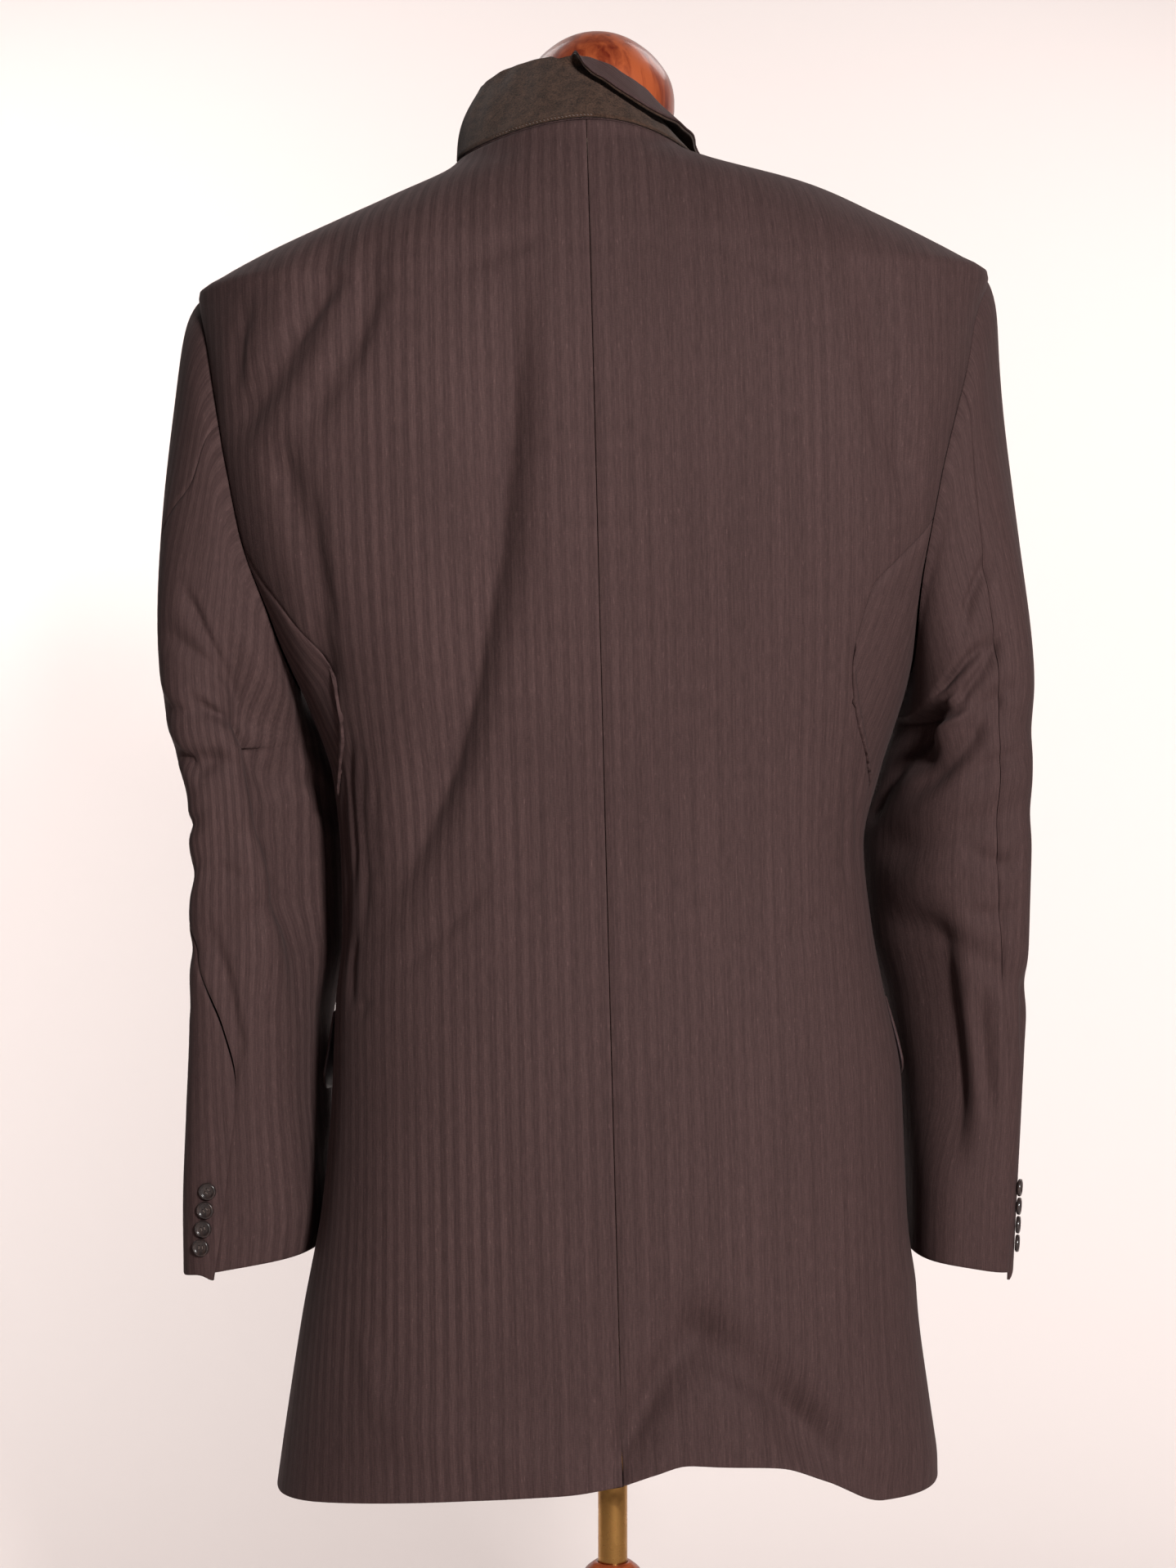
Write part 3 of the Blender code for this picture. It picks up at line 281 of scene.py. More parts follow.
CREASES_RIGHT = (
    (6, 9, -2.2, ((62, 196), (76, 168), (96, 176), (104, 214))),
    (5, 9, -2.4, ((66, 232), (84, 262), (112, 292), (132, 330))),
    (9, 5, -1.7, ((56, 330), (76, 318), (98, 334))),
    (6, 8, -1.6, ((44, 402), (70, 392), (98, 408), (120, 432))),
    (8, 5, -1.9, ((54, 508), (72, 522), (92, 516), (116, 500))),
    (6, 9, -1.5, ((60, 566), (86, 580), (112, 574))),
    (10, 12, -2.4, ((92, 640), (98, 700), (92, 770), (84, 840))),
    (7, 7, -1.2, ((40, 640), (50, 700), (46, 760))),
    (9, 9, -1.6, ((-20, 70), (-26, 150), (-20, 230))),
    (12, 8, -1.6, ((-58, 310), (-42, 370), (-34, 450), (-30, 520))),
    (7, 7, -1.2, ((-88, 430), (-66, 448), (-44, 444))),
    (8, 10, -1.5, ((168, 390), (184, 430), (198, 480))),
    (34, 14, -7.0, ((152, 270), (150, 330), (150, 430))),
    (7, 7, -3.4, ((142, 264), (124, 250), (106, 246), (92, 252), (80, 270))),
    (9, 9, 2.4, ((126, 284), (122, 310), (118, 330))),
    (7, 8, 2.6, ((106, 285), (112, 330), (140, 370), (172, 405))),
    (9, 9, -3.4, ((94, 330), (108, 375), (138, 418), (160, 444))),
    (34, 18, -6.5, ((134, 540), (132, 680), (124, 800), (114, 920))),
)
DEGREE = 1.05  # millimetres of cloth in a degree of turn
SLEEVE_LENGTH = 620
SLEEVE_ROUND = 66  # mean radius of the sleeve at its head and at its cuff
CUFF_ROUND = 50

# Collar, from the right gorge round the neck to the left gorge

COLLAR_LAYER = 1.3
FELT_OFF = 0.15  # from the collar's middle to the felt, and to the wool
WOOL_OFF = 0.2
STAND_BULGE = 5.0  # how far the standing part of the collar bulges out
STITCHES = 84  # along the felt, from the first share of the neckline to the second
STITCHED = (0.49, 0.95)
STITCH_RADIUS = 0.28
STITCH_RISE = (2.1, 3.3)  # height of a stitch's ends over the seam
FOLD_RADIUS = 3.2
COLLAR = (
    # share of the neckline, lean in, height of the fold, turn of the leaf, sweep forward, width
    (0.00, 36, 14, 134, 14, 60),
    (0.10, 40, 17, 150, 7, 50),
    (0.22, 42, 28, 166, 0, 51),
    (0.29, 40, 41, 172, 0, 70),
    (0.326, 38, 44.5, 174, 0, 77),
    (0.365, 37, 46, 175, 0, 81),
    (0.405, 38, 49, 176, 0, 82),
    (0.44, 39, 54, 175, 0, 83),
    (0.474, 40, 58, 172, 0, 82),
    (0.50, 40, 58.5, 164, 0, 76),
    (0.53, 40, 58.5, 60, 0, 63.5),
    (0.555, 39, 57.5, 8, 0, 63.5),
    (0.58, 37, 57, 0, 0, 68),
    (0.68, 30, 52, 2, 0, 66.5),
    (0.74, 23, 48, 3, 0, 57.5),
    (0.78, 18, 46, 5, 0, 52),
    (0.86, 11, 40, 8, 0, 57),
    (0.93, 18, 31, 26, 4, 60),
    (1.00, 26, 16, 66, 14, 60),
)

# Pockets and buttons

FLAP_TOP = 602
FLAP_BOTTOM = 550
FLAP_TURNS = (93, 143)
FLAP_CORNER = 16
FLAP_WIDTH = 120
FLAP_RAISED = (5.0, 2.0)  # how far the flap's low edge stands off, left and right
WELT_TURNS = (128, 147)
WELT_TOP = 940
WELT_BOTTOM = 916
WELT_WIDTH = 75
VENT_TOP = 529
UNDERLAP = 26
VENT_RISE = 1.3  # how far the vent's free edge stands off
FRONT_BUTTON = 20
FRONT_THICK = 3.6
FRONT_DROPS = (14, 114)  # from the break of the lapels down to each button
CUFF_BUTTON = 11.3
CUFF_THICK = 2.6
CUFF_PITCH = 11.9
CUFF_FIRST = 18  # from the cuff's edge to the lowest button
CUFF_IN = 0.07  # share of the top sleeve between its vent and the buttons
BUTTON_OFF = 0.5  # from the cloth to the back of a button
BUTTON_PROFILE = (
    # share of the radius, share of the thickness
    (0, 0), (0.80, 0.0), (0.97, 0.22), (1.0, 0.5), (0.97, 0.80), (0.88, 1.0), (0.78, 0.98),
    (0.70, 0.78), (0.60, 0.68), (0.2, 0.62), (0, 0.61),
)
# Shares of the button's radius: a hole, and the place of each hole from the middle
HOLE = 0.085
HOLE_OFF = 0.21
THREAD_TOP = 0.66  # share of the thickness at which the threads lie

# Dress form and stand

NECK_DRAWN = 2.2  # how far the form's neck is drawn in, over a band of NECK_BAND each way
NECK_BAND = 15
NECK_FORWARD = 46
NECK_ASIDE = 8
CAP = (
    # radius, height
    (0, 1186), (49.2, 1186), (50.5, 1187.2), (51.2, 1191), (51.4, 1198), (50.4, 1206),
    (47.8, 1213.4), (43.4, 1220.6), (37.6, 1227.6), (30, 1234), (23.2, 1238.4), (14.6, 1242),
    (6.8, 1243.7), (0, 1244),
)
POLE_RADIUS = 9.5
POLE_TOP = 470
POLE_FOOT = 60
POLE_BEVEL = 0.6
COLUMN = (
    # radius, height
    (9.8, 24.4), (34, 24.4), (36, 27), (36, 31), (33, 36), (27, 43), (22.5, 54), (19.6, 74),
    (18.2, 104), (18.8, 122), (21, 142), (24.2, 158), (25, 165), (24.2, 171), (21.8, 177.5),
    (18.6, 181), (18, 186), (18, 193), (21.6, 197), (24, 203), (24.6, 210), (24, 218),
    (22, 228), (17.5, 236.6), (12, 241), (9.8, 241),
)
BASE = (
    # radius, height
    (0, 0), (149, 0), (153.6, 1.2), (155, 4), (155, 11), (153.8, 14.6), (150.6, 17),
    (147.5, 17.4), (145.5, 19.2), (140, 20), (118, 20.6), (90, 21.2), (64, 22.8), (52, 24),
    (0, 24),
)

# Stage, in metres

PAPER_LINE = (3.4, -0.75)  # the floor runs from here to where the paper starts to bend up
PAPER_BEND = 1.0
PAPER_TOP = 3.6
PAPER_HALF = 4.0
LAMPS = (
    # name, place, aim, size, setting of its power, share of it
    ("key_light", (-1.05, 2.85, 1.6), (0, 0, 0.8), 0.4, "key", 1),
    ("front_light_left", (0.8, -1.1, 2.2), (0, 0, 0.8), 0.7, "front", 1),
    ("front_light_right", (-0.8, -1.1, 2.2), (0, 0, 0.8), 0.7, "front", 1),
    ("backdrop_light_left", (1.15, -0.55, 1.25), (0.7, -1.75, 0.85), 0.9, "wash", 1),
    ("backdrop_light_right", (-1.15, -0.55, 1.25), (-0.7, -1.75, 0.85), 0.9, "wash", 0.65),
)
LAMP_COLOUR = (1.0, 0.975, 0.965)
ROOM_COLOUR = (1.0, 0.96, 0.95, 1)
ROOM_LIGHT = 0.02
SENSOR = 24
LENS = 43.18
CAMERA_ASIDE = 0.016


def linear(code):
    """Linear red, green and blue of an sRGB hex code such as #5a4645."""
    parts = [int(code[k:k + 2], 16) / 255 for k in (1, 3, 5)]
    return tuple(p / 12.92 if p <= 0.04045 else ((p + 0.055) / 1.055) ** 2.4 for p in parts)


# What a user may change

def colour(name, description, code):
    """A colour setting with an sRGB hex default."""
    return FloatVectorProperty(name=name, description=description, subtype="COLOR", size=3,
                               min=0, max=1, default=linear(code))


class ClothSettings(bpy.types.PropertyGroup):
    """Cloth of the jacket."""
    wall: FloatProperty(name="Cloth thickness", unit="LENGTH", default=0.002, min=0.001,
                        max=0.003, description="Cloth with its interlining")
    seam: FloatProperty(name="Seam gap", unit="LENGTH", default=0.00046, min=0.0003, max=0.001,
                        description="Gap between two pieces at a seam")
    creases: FloatProperty(name="Crease depth", subtype="FACTOR", default=2.1, min=0, max=3,
                           description="Strength of the finer creases")
    pitch: FloatProperty(name="Stripe spacing", unit="LENGTH", default=0.0085, min=0.004,
                         max=0.02, description="From one shadow stripe to the next")
    wool: colour("Wool", "Ground of the cloth", "#433231")
    stripe: colour("Stripe", "Pale band of the shadow stripes", "#584442")
    felt: colour("Undercollar felt", "Felt under the collar", "#3d2c23")
    lining: colour("Lining", "Satin on the back of the pocket flaps", "#5d4f52")
    horn: colour("Buttons", "Horn of the buttons", "#2b2423")
    thread: colour("Thread", "Sewing thread", "#6f6058")


class FormSettings(bpy.types.PropertyGroup):
    """Dress form and stand."""
    around: IntProperty(name="Turning steps", default=96, min=32, max=160,
                        description="Facets round each turned piece")
    linen: colour("Linen", "Cover of the form", "#cdbfa6")
    wood: colour("Mahogany", "Light grain of the wood", "#ae5530")
    pores: colour("Dark grain", "Dark grain of the wood", "#6a2213")
    brass: colour("Brass", "Pole of the stand", "#b5894f")


class StageSettings(bpy.types.PropertyGroup):
    """Backdrop, light and camera."""
    paper: colour("Backdrop", "Paper of the floor and backdrop", "#cfc6c3")
    key: FloatProperty(name="Key light", unit="POWER", default=112, min=0, max=400,
                       description="Soft light from the camera's upper right")
    wash: FloatProperty(name="Backdrop light", unit="POWER", default=26, min=0, max=400,
                        description="Light on the backdrop")
    front: FloatProperty(name="Front light", unit="POWER", default=5, min=0, max=400,
                         description="Two weak lights on the jacket's front")
    distance: FloatProperty(name="Camera distance", unit="LENGTH", default=1.83, min=1, max=4,
                            description="From the pole's axis to the camera")
    height: FloatProperty(name="Camera height", unit="LENGTH", default=0.745, min=0.2, max=2,
                          description="Height of the camera over the floor")


# Curves and the jacket's surface

def smooth(rows, column, at):
    """Smooth curve through a table's column, with slopes that never overshoot."""
    table = np.array(rows, float)
    xs = table[:, 0]
    ys = table[:, column]
    step = np.diff(xs)
    slope = np.diff(ys) / step
    tangent = np.zeros(len(xs))
    tangent[0] = slope[0]
    tangent[-1] = slope[-1]
    same = slope[:-1] * slope[1:] > 0
    mean = 2 * slope[:-1] * slope[1:] / np.where(same, slope[:-1] + slope[1:], 1)
    tangent[1:-1] = np.where(same, mean, 0)
    at = np.clip(np.asarray(at, float), xs[0], xs[-1])
    i = np.clip(np.searchsorted(xs, at, side="right") - 1, 0, len(xs) - 2)
    t = (at - xs[i]) / step[i]
    near = ys[i] * (1 + 2 * t) * (1 - t) ** 2 + ys[i + 1] * t * t * (3 - 2 * t)
    return near + step[i] * t * (1 - t) * (tangent[i] * (1 - t) - tangent[i + 1] * t)


def ease(t):
    """0 to 1 with level ends."""
    t = np.clip(t, 0, 1)
    return t * t * (3 - 2 * t)


def unit(v):
    """Vectors scaled to length one."""
    return v / np.maximum(np.linalg.norm(v, axis=-1, keepdims=True), 1e-9)


def section(height, side):
    """Half width, back depth, front depth and squareness of the body."""
    width = smooth(BODY, 1 if side > 0 else 2, height)
    return width, smooth(BODY, 3, height), smooth(BODY, 4, height), smooth(BODY, 5, height)


def turn_at_depth(depth, height, side):
    """Turn round the section, 0 at the centre back and pi at the front, for a depth."""
    _, back, front, square = section(height, side)
    reach = np.where(np.asarray(depth) > 0, back, front)
    share = np.clip(np.asarray(depth) / reach, -1, 1)
    across = (1 - np.abs(share) ** square) ** (1 / square)
    return np.arctan2(across, share)


def turn_at_across(across, height, side):
    """Turn for a place across the front, which may lie past the centre."""
    width, _, _, square = section(height, side)
    share = np.clip(np.asarray(across) / width, -1, 1)
    depth = (1 - np.abs(share) ** square) ** (1 / square)
    return pi - np.arctan2(share, depth)


def fold_depth(x, z):
    """How far the large folds move the back at each place."""
    moved = np.zeros(np.broadcast(x, z).shape)
    for x0, z0, x1, z1, bow, half, depth in FOLDS:
        run = np.array([x1 - x0, z1 - z0], float)
        long = float(np.hypot(*run))
        along = ((x - x0) * run[0] + (z - z0) * run[1]) / long
        off = ((x - x0) * run[1] - (z - z0) * run[0]) / long
        t = np.clip(along / long, 0, 1)
        off = off - bow * 4 * t * (1 - t)
        end = np.maximum(0, np.abs(along - long / 2) - long / 2)
        far = np.sqrt((off / half) ** 2 + (end / (half * 1.6)) ** 2)
        moved = moved + depth * np.exp(-far ** 2 * 1.3)
    return moved


def crease_depth(a, b, table):
    """How far a table of creases moves the cloth, each fading out towards its ends."""
    strength = bpy.context.scene.blazer_cloth.creases
    moved = np.zeros(np.broadcast(a, b).shape)
    for left, right, depth, line in table:
        points = np.array(line, float)
        runs = np.diff(points, axis=0)
        longs = np.hypot(runs[:, 0], runs[:, 1])
        total = longs.sum()
        nearest = np.full(moved.shape, 1e9)
        off = np.zeros(moved.shape)
        along = np.zeros(moved.shape)
        start = 0.0
        for (x0, z0), (dx, dz), long in zip(points, runs, longs):
            t = np.clip(((a - x0) * dx + (b - z0) * dz) / long ** 2, 0, 1)
            far = np.hypot(a - x0 - t * dx, b - z0 - t * dz)
            closer = far < nearest
            side = np.sign((a - x0) * dz - (b - z0) * dx)
            off = np.where(closer, far * side, off)
            along = np.where(closer, start + t * long, along)
            nearest = np.minimum(nearest, far)
            start += long
        half = np.where(off > 0, left, right)
        share = along / total
        fade = ease(share / 0.3) * ease((1 - share) / 0.35)
        moved += depth * fade * np.exp(-(off / half) ** 2 * 1.2)
    return moved * strength


def drape(x, y, z):
    """Slow unevenness of hanging cloth."""
    low = ease((760 - z) / 300)
    wide = np.sin(x / 23.0 + z / 210.0 + y / 31.0) + 0.6 * np.sin(x / 14.0 - z / 170.0 + 1.3)
    small = np.sin(x / 9.0 + 2.0 * np.sin(z / 95.0)) * np.sin(z / 61.0 + y / 17.0)
    return 0.30 * wide * (0.5 + 0.9 * low) + 0.16 * small


def plain_body(turn, height, side):
    """Point of the smooth body."""
    width, back, front, square = section(height, side)
    c = np.cos(turn)
    s = np.sin(turn)
    size = (np.abs(c) ** square + np.abs(s) ** square) ** (-1 / square)
    return np.stack([side * width * size * s, np.where(c > 0, back, front) * size * c,
                     np.asarray(height) + 0 * size], axis=-1)


def normal_of(surface, u, v, *more):
    """Outward normal of surface(u, v) by small steps, u round it and v up."""
    du = surface(u + 1e-3, v, *more) - surface(u - 1e-3, v, *more)
    dv = surface(u, v + 0.5, *more) - surface(u, v - 0.5, *more)
    return unit(np.cross(dv, du))


def plain_normal(turn, height, side):
    """Outward normal of the smooth body."""
    return normal_of(plain_body, turn, height, side) * side


def body(turn, height, side):
    """Point of the outer face of the body cloth, with its folds and creases."""
    point = plain_body(turn, height, side)
    out = plain_normal(turn, height, side)
    x, y, z = point[..., 0], point[..., 1], point[..., 2]
    on_back = ease((np.cos(turn) + 0.05) / 0.3)
    on_front = ease((-np.cos(turn) - 0.02) / 0.3)
    moved = (fold_depth(x, z) + crease_depth(x, z, CREASES)) * on_back
    moved = moved + crease_depth(x, z, WAIST) * ease((np.cos(turn) + 0.2) / 0.3)
    moved = moved + crease_depth(x, z, FRONT_CREASES) * on_front
    neck = ease((1120 - z) / 60)
    moved = moved + drape(x, y, z) * neck
    return point + out * moved[..., None]


def body_normal(turn, height, side):
    """Outward normal of the body cloth."""
    return normal_of(body, turn, height, side) * side


def neck_drop(level, turn):
    """How far a row near the neck lies below its level."""
    return NECK_DROP * ease((level - 1103) / (NECK - 1103)) * np.sin(turn) ** 2


def hem_wave(level, turn, side):
    """Height of a row: the lowest follows the hem, the others less and less."""
    across = plain_body(turn, level, side)[..., 0]
    share = ease(1 - (level - HEM) / HEM_FADE)
    behind = level + (smooth(HEM_BACK, 1, across) - HEM) * share
    before = level + (HEM_FRONT - HEM) * share
    on_back = ease((np.cos(turn) + 0.4) / 0.5)
    return behind * on_back + before * (1 - on_back)


def side_seam(side):
    """A function for the turn of the back's outer edge at a level: side seam, then armhole."""
    def at(level):
        low = turn_at_depth(smooth(SIDE_SEAM, 1 if side > 0 else 2, level), level, side)
        join = (SIDE_SEAM[-1][1 if side > 0 else 2] - ARMHOLE[0][1]) * ease((960 - level) / 55)
        high = turn_at_depth(smooth(ARMHOLE, 1, level) + join, level, side)
        return np.where(level <= JUNCTION, low, np.where(level < SHOULDER, high, pi / 2))
    return at


def front_seam(side):
    """A function for the turn of the front's outer edge at a level: seam, then armhole."""
    def at(level):
        low = turn_at_depth(smooth(FRONT_SEAM, 1, level), level, side)
        high = turn_at_depth(smooth(ARMHOLE, 2, level), level, side)
        return np.where(level <= JUNCTION, low, np.where(level < SHOULDER, high, pi / 2))
    return at


def front_edge(side):
    """A function for the turn of the front's inner edge at a level, up to the neckline."""
    def at(level):
        edge = turn_at_across(smooth(FRONT_EDGE, 1, level), level, side)
        gorge = turn_at_across(FRONT_EDGE[-1][1], GORGE, side)
        share = np.clip((NECK - level) / (NECK - GORGE), 0, 1) ** NECK_CURVE
        return np.where(level > GORGE, NECK_POINT + (gorge - NECK_POINT) * share, edge)
    return at


def lap(point, side):
    """How far the left front rises over the right one."""
    if side < 0:
        return np.zeros(point.shape[:-1])
    below = ease((BREAK + 130 - point[..., 2]) / 60)
    near = ease((LAP_FROM - point[..., 0]) / (LAP_FROM - 20)) * (point[..., 1] < 0)
    return (2.0 + LAY) * near * below


def steps(count, width, fine=(0.5, 1.1, 1.9, 3.1, 4.8)):
    """Shares from 0 to 1, close together at both ends for the roll of an edge."""
    ends = np.array(fine) / width
    middle = np.linspace(ends[-1], 1 - ends[-1], count)[1:-1]
    return np.concatenate([[0], ends, middle, 1 - ends[::-1], [1]])


def rows_between(low, high, pitch):
    """Levels from low to high, close together at both ends."""
    return low + (high - low) * steps(int((high - low) / pitch), high - low)


def grid_normal(points, flip):
    """Outward normal of a grid of points."""
    du = np.gradient(points, axis=1)
    dv = np.gradient(points, axis=0)
    return unit(np.cross(du, dv)) * (-1 if flip else 1)


def edge_lengths(points):
    """Length of cloth from each point to the left, right, lower and upper border."""
    across = np.linalg.norm(np.diff(points, axis=1), axis=-1)
    left = np.concatenate([np.zeros((len(points), 1)), np.cumsum(across, axis=1)], axis=1)
    up = np.linalg.norm(np.diff(points, axis=0), axis=-1)
    low = np.concatenate([np.zeros((1, points.shape[1])), np.cumsum(up, axis=0)], axis=0)
    return left, left[:, -1:] - left, low, low[-1:] - low


def dipped(points, rolls):
    """How far cloth dips at its borders: (depth, width) for left, right, low and high."""
    dip = np.zeros(points.shape[:-1])
    for length, (depth, width) in zip(edge_lengths(points), rolls):
        dip = np.maximum(dip, depth * np.exp(-(length / width) ** 2))
    return dip[..., None]


# Depth and width of the roll at a sewn, a turned and an open edge, and at a sleeve's head
SEWN = (0.75, 1.5)
TURNED = (0.65, 0.9)
OPEN = (0.5, 0.8)
HEAD_SEWN = (0.5, 1.4)
INNER_ROLL = 0.6  # share of the roll that the inner face makes


def leaned(points):
    """The garment's upright frame turned on the pole."""
    points = np.asarray(points, float) - LEAN_AT
    x = points[..., 0] * cos(LEAN) + points[..., 2] * sin(LEAN) + ASIDE
    z = points[..., 2] * cos(LEAN) - points[..., 0] * sin(LEAN)
    return np.stack([x, points[..., 1], z], axis=-1) + LEAN_AT


# Meshes

def placed(name, data):
    """A new object, linked to the scene."""
    made = bpy.data.objects.new(name, data)
    bpy.context.scene.collection.objects.link(made)
    return made


def trimmed(grid, gap):
    """Draws the border of a grid in by half a seam."""
    grid = grid.copy()

    def pull(edge, inside):
        return edge + unit(inside - edge) * gap / 2
    grid[0] = pull(grid[0], grid[2])
    grid[-1] = pull(grid[-1], grid[-3])
    grid[:, 0] = pull(grid[:, 0], grid[:, 2])
    grid[:, -1] = pull(grid[:, -1], grid[:, -3])
    return grid


def wall_faces(rows, columns):
    """Faces of a closed wall over two grids, and how many of them each grid has."""
    k = np.arange(rows * columns).reshape(rows, columns)
    a, b = k[:-1, :-1].ravel(), k[:-1, 1:].ravel()
    e, d = k[1:, 1:].ravel(), k[1:, :-1].ravel()
    far = rows * columns
    outer = np.stack([a, b, e, d], axis=1)
    inner = np.stack([a, d, e, b], axis=1) + far
    ring = np.concatenate([k[:0:-1, 0], k[0, :-1], k[:-1, -1], k[-1, :0:-1]])
    after = np.roll(ring, -1)
    rim = np.stack([after, ring, ring + far, after + far], axis=1)
    return np.concatenate([outer, inner, rim]), len(outer)


def cloth_piece(name, outer, inner, uv, materials, flip):
    """A closed wall of cloth between two grids, in millimetres; uv is in metres.

    The last of the materials is that of the inner face, the first that of the rest.
    """
    gap = bpy.context.scene.blazer_cloth.seam / MM
    outer = leaned(trimmed(outer, gap))
    inner = leaned(trimmed(inner, gap))
    rows, columns = outer.shape[:2]
    faces, count = wall_faces(rows, columns)
    if flip:
        faces = faces[:, ::-1]
    points = np.concatenate([outer.reshape(-1, 3), inner.reshape(-1, 3)]) * MM
    mesh = bpy.data.meshes.new(name)
    mesh.from_pydata(points.tolist(), [], faces.tolist())
    spread = np.concatenate([uv.reshape(-1, 2)] * 2)
    layer = mesh.uv_layers.new(name="Cloth")
    layer.data.foreach_set("uv", spread[faces.ravel()].ravel())
    for material in materials:
        mesh.materials.append(material)
    index = np.zeros(len(faces), int)
    index[count:2 * count] = len(materials) - 1
    mesh.polygons.foreach_set("material_index", index)
    mesh.shade_smooth()
    return placed(name, mesh)


def dress(piece, node, slot, size=None, area=None):
    """Ties a piece to the frame and hides its CAD part; how its cloth was cut is not used."""
    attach(piece, "root")
    if node:
        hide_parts(node)


def cut(points):
    """Width, length and area of a flat cut, in metres, from the grid of the sewn piece."""
    left, _, low, _ = edge_lengths(points)
    width = left[:, -1].max() * MM
    length = low[-1].max() * MM
    du = points[:-1, 1:] - points[:-1, :-1]
    dv = points[1:, :-1] - points[:-1, :-1]
    area = np.linalg.norm(np.cross(du, dv), axis=-1).sum() * MM * MM
    width = min(width, area / length * WIDEST)
    return (round(width, 3), round(length, 3)), min(round(area, 4), round(width * length, 4))


def across_cloth(turn, height, side, start):
    """Length of cloth along a level row from the turn start."""
    parts = 24
    last = plain_body(start + 0 * turn, height, side)
    total = np.zeros(np.shape(turn))
    for k in range(1, parts + 1):
        here = plain_body(start + (turn - start) * k / parts, height, side)
        total = total + np.linalg.norm(here - last, axis=-1)
        last = here
    return total * np.sign(turn - start)


# Looks

def node(tree, kind, inputs=(), output=0, **settings):
    """Adds a shader node with its settings and its inputs, values or links, and gives an output.

    The inputs are a dictionary, or a row in the node's own order. For a Map Range that is the
    value, the range that it comes from and the range that it goes to.
    """
    made = tree.nodes.new("ShaderNode" + kind)
    for key, value in settings.items():
        setattr(made, key, value)
    for key, value in inputs.items() if isinstance(inputs, dict) else enumerate(inputs):
        if isinstance(value, bpy.types.NodeSocket):
            tree.links.new(value, made.inputs[key])
        else:
            made.inputs[key].default_value = value
    return made.outputs[output]


def look(name, **values):
    """A material with its Principled shader's plain values set."""
    made = bpy.data.materials.new(name)
    made.use_nodes = True
    shader = made.node_tree.nodes["Principled BSDF"]
    for key, value in values.items():
        shader.inputs[key.replace("_", " ")].default_value = value
    return made, made.node_tree, shader


def rgba(colour_value):
    """A colour with full alpha."""
    return (*colour_value[:3], 1)


def coloured(tree, shader, colour_output, normal):
    """Gives a shader its colour and its bump."""
    tree.links.new(colour_output, shader.inputs["Base Color"])
    tree.links.new(normal, shader.inputs["Normal"])


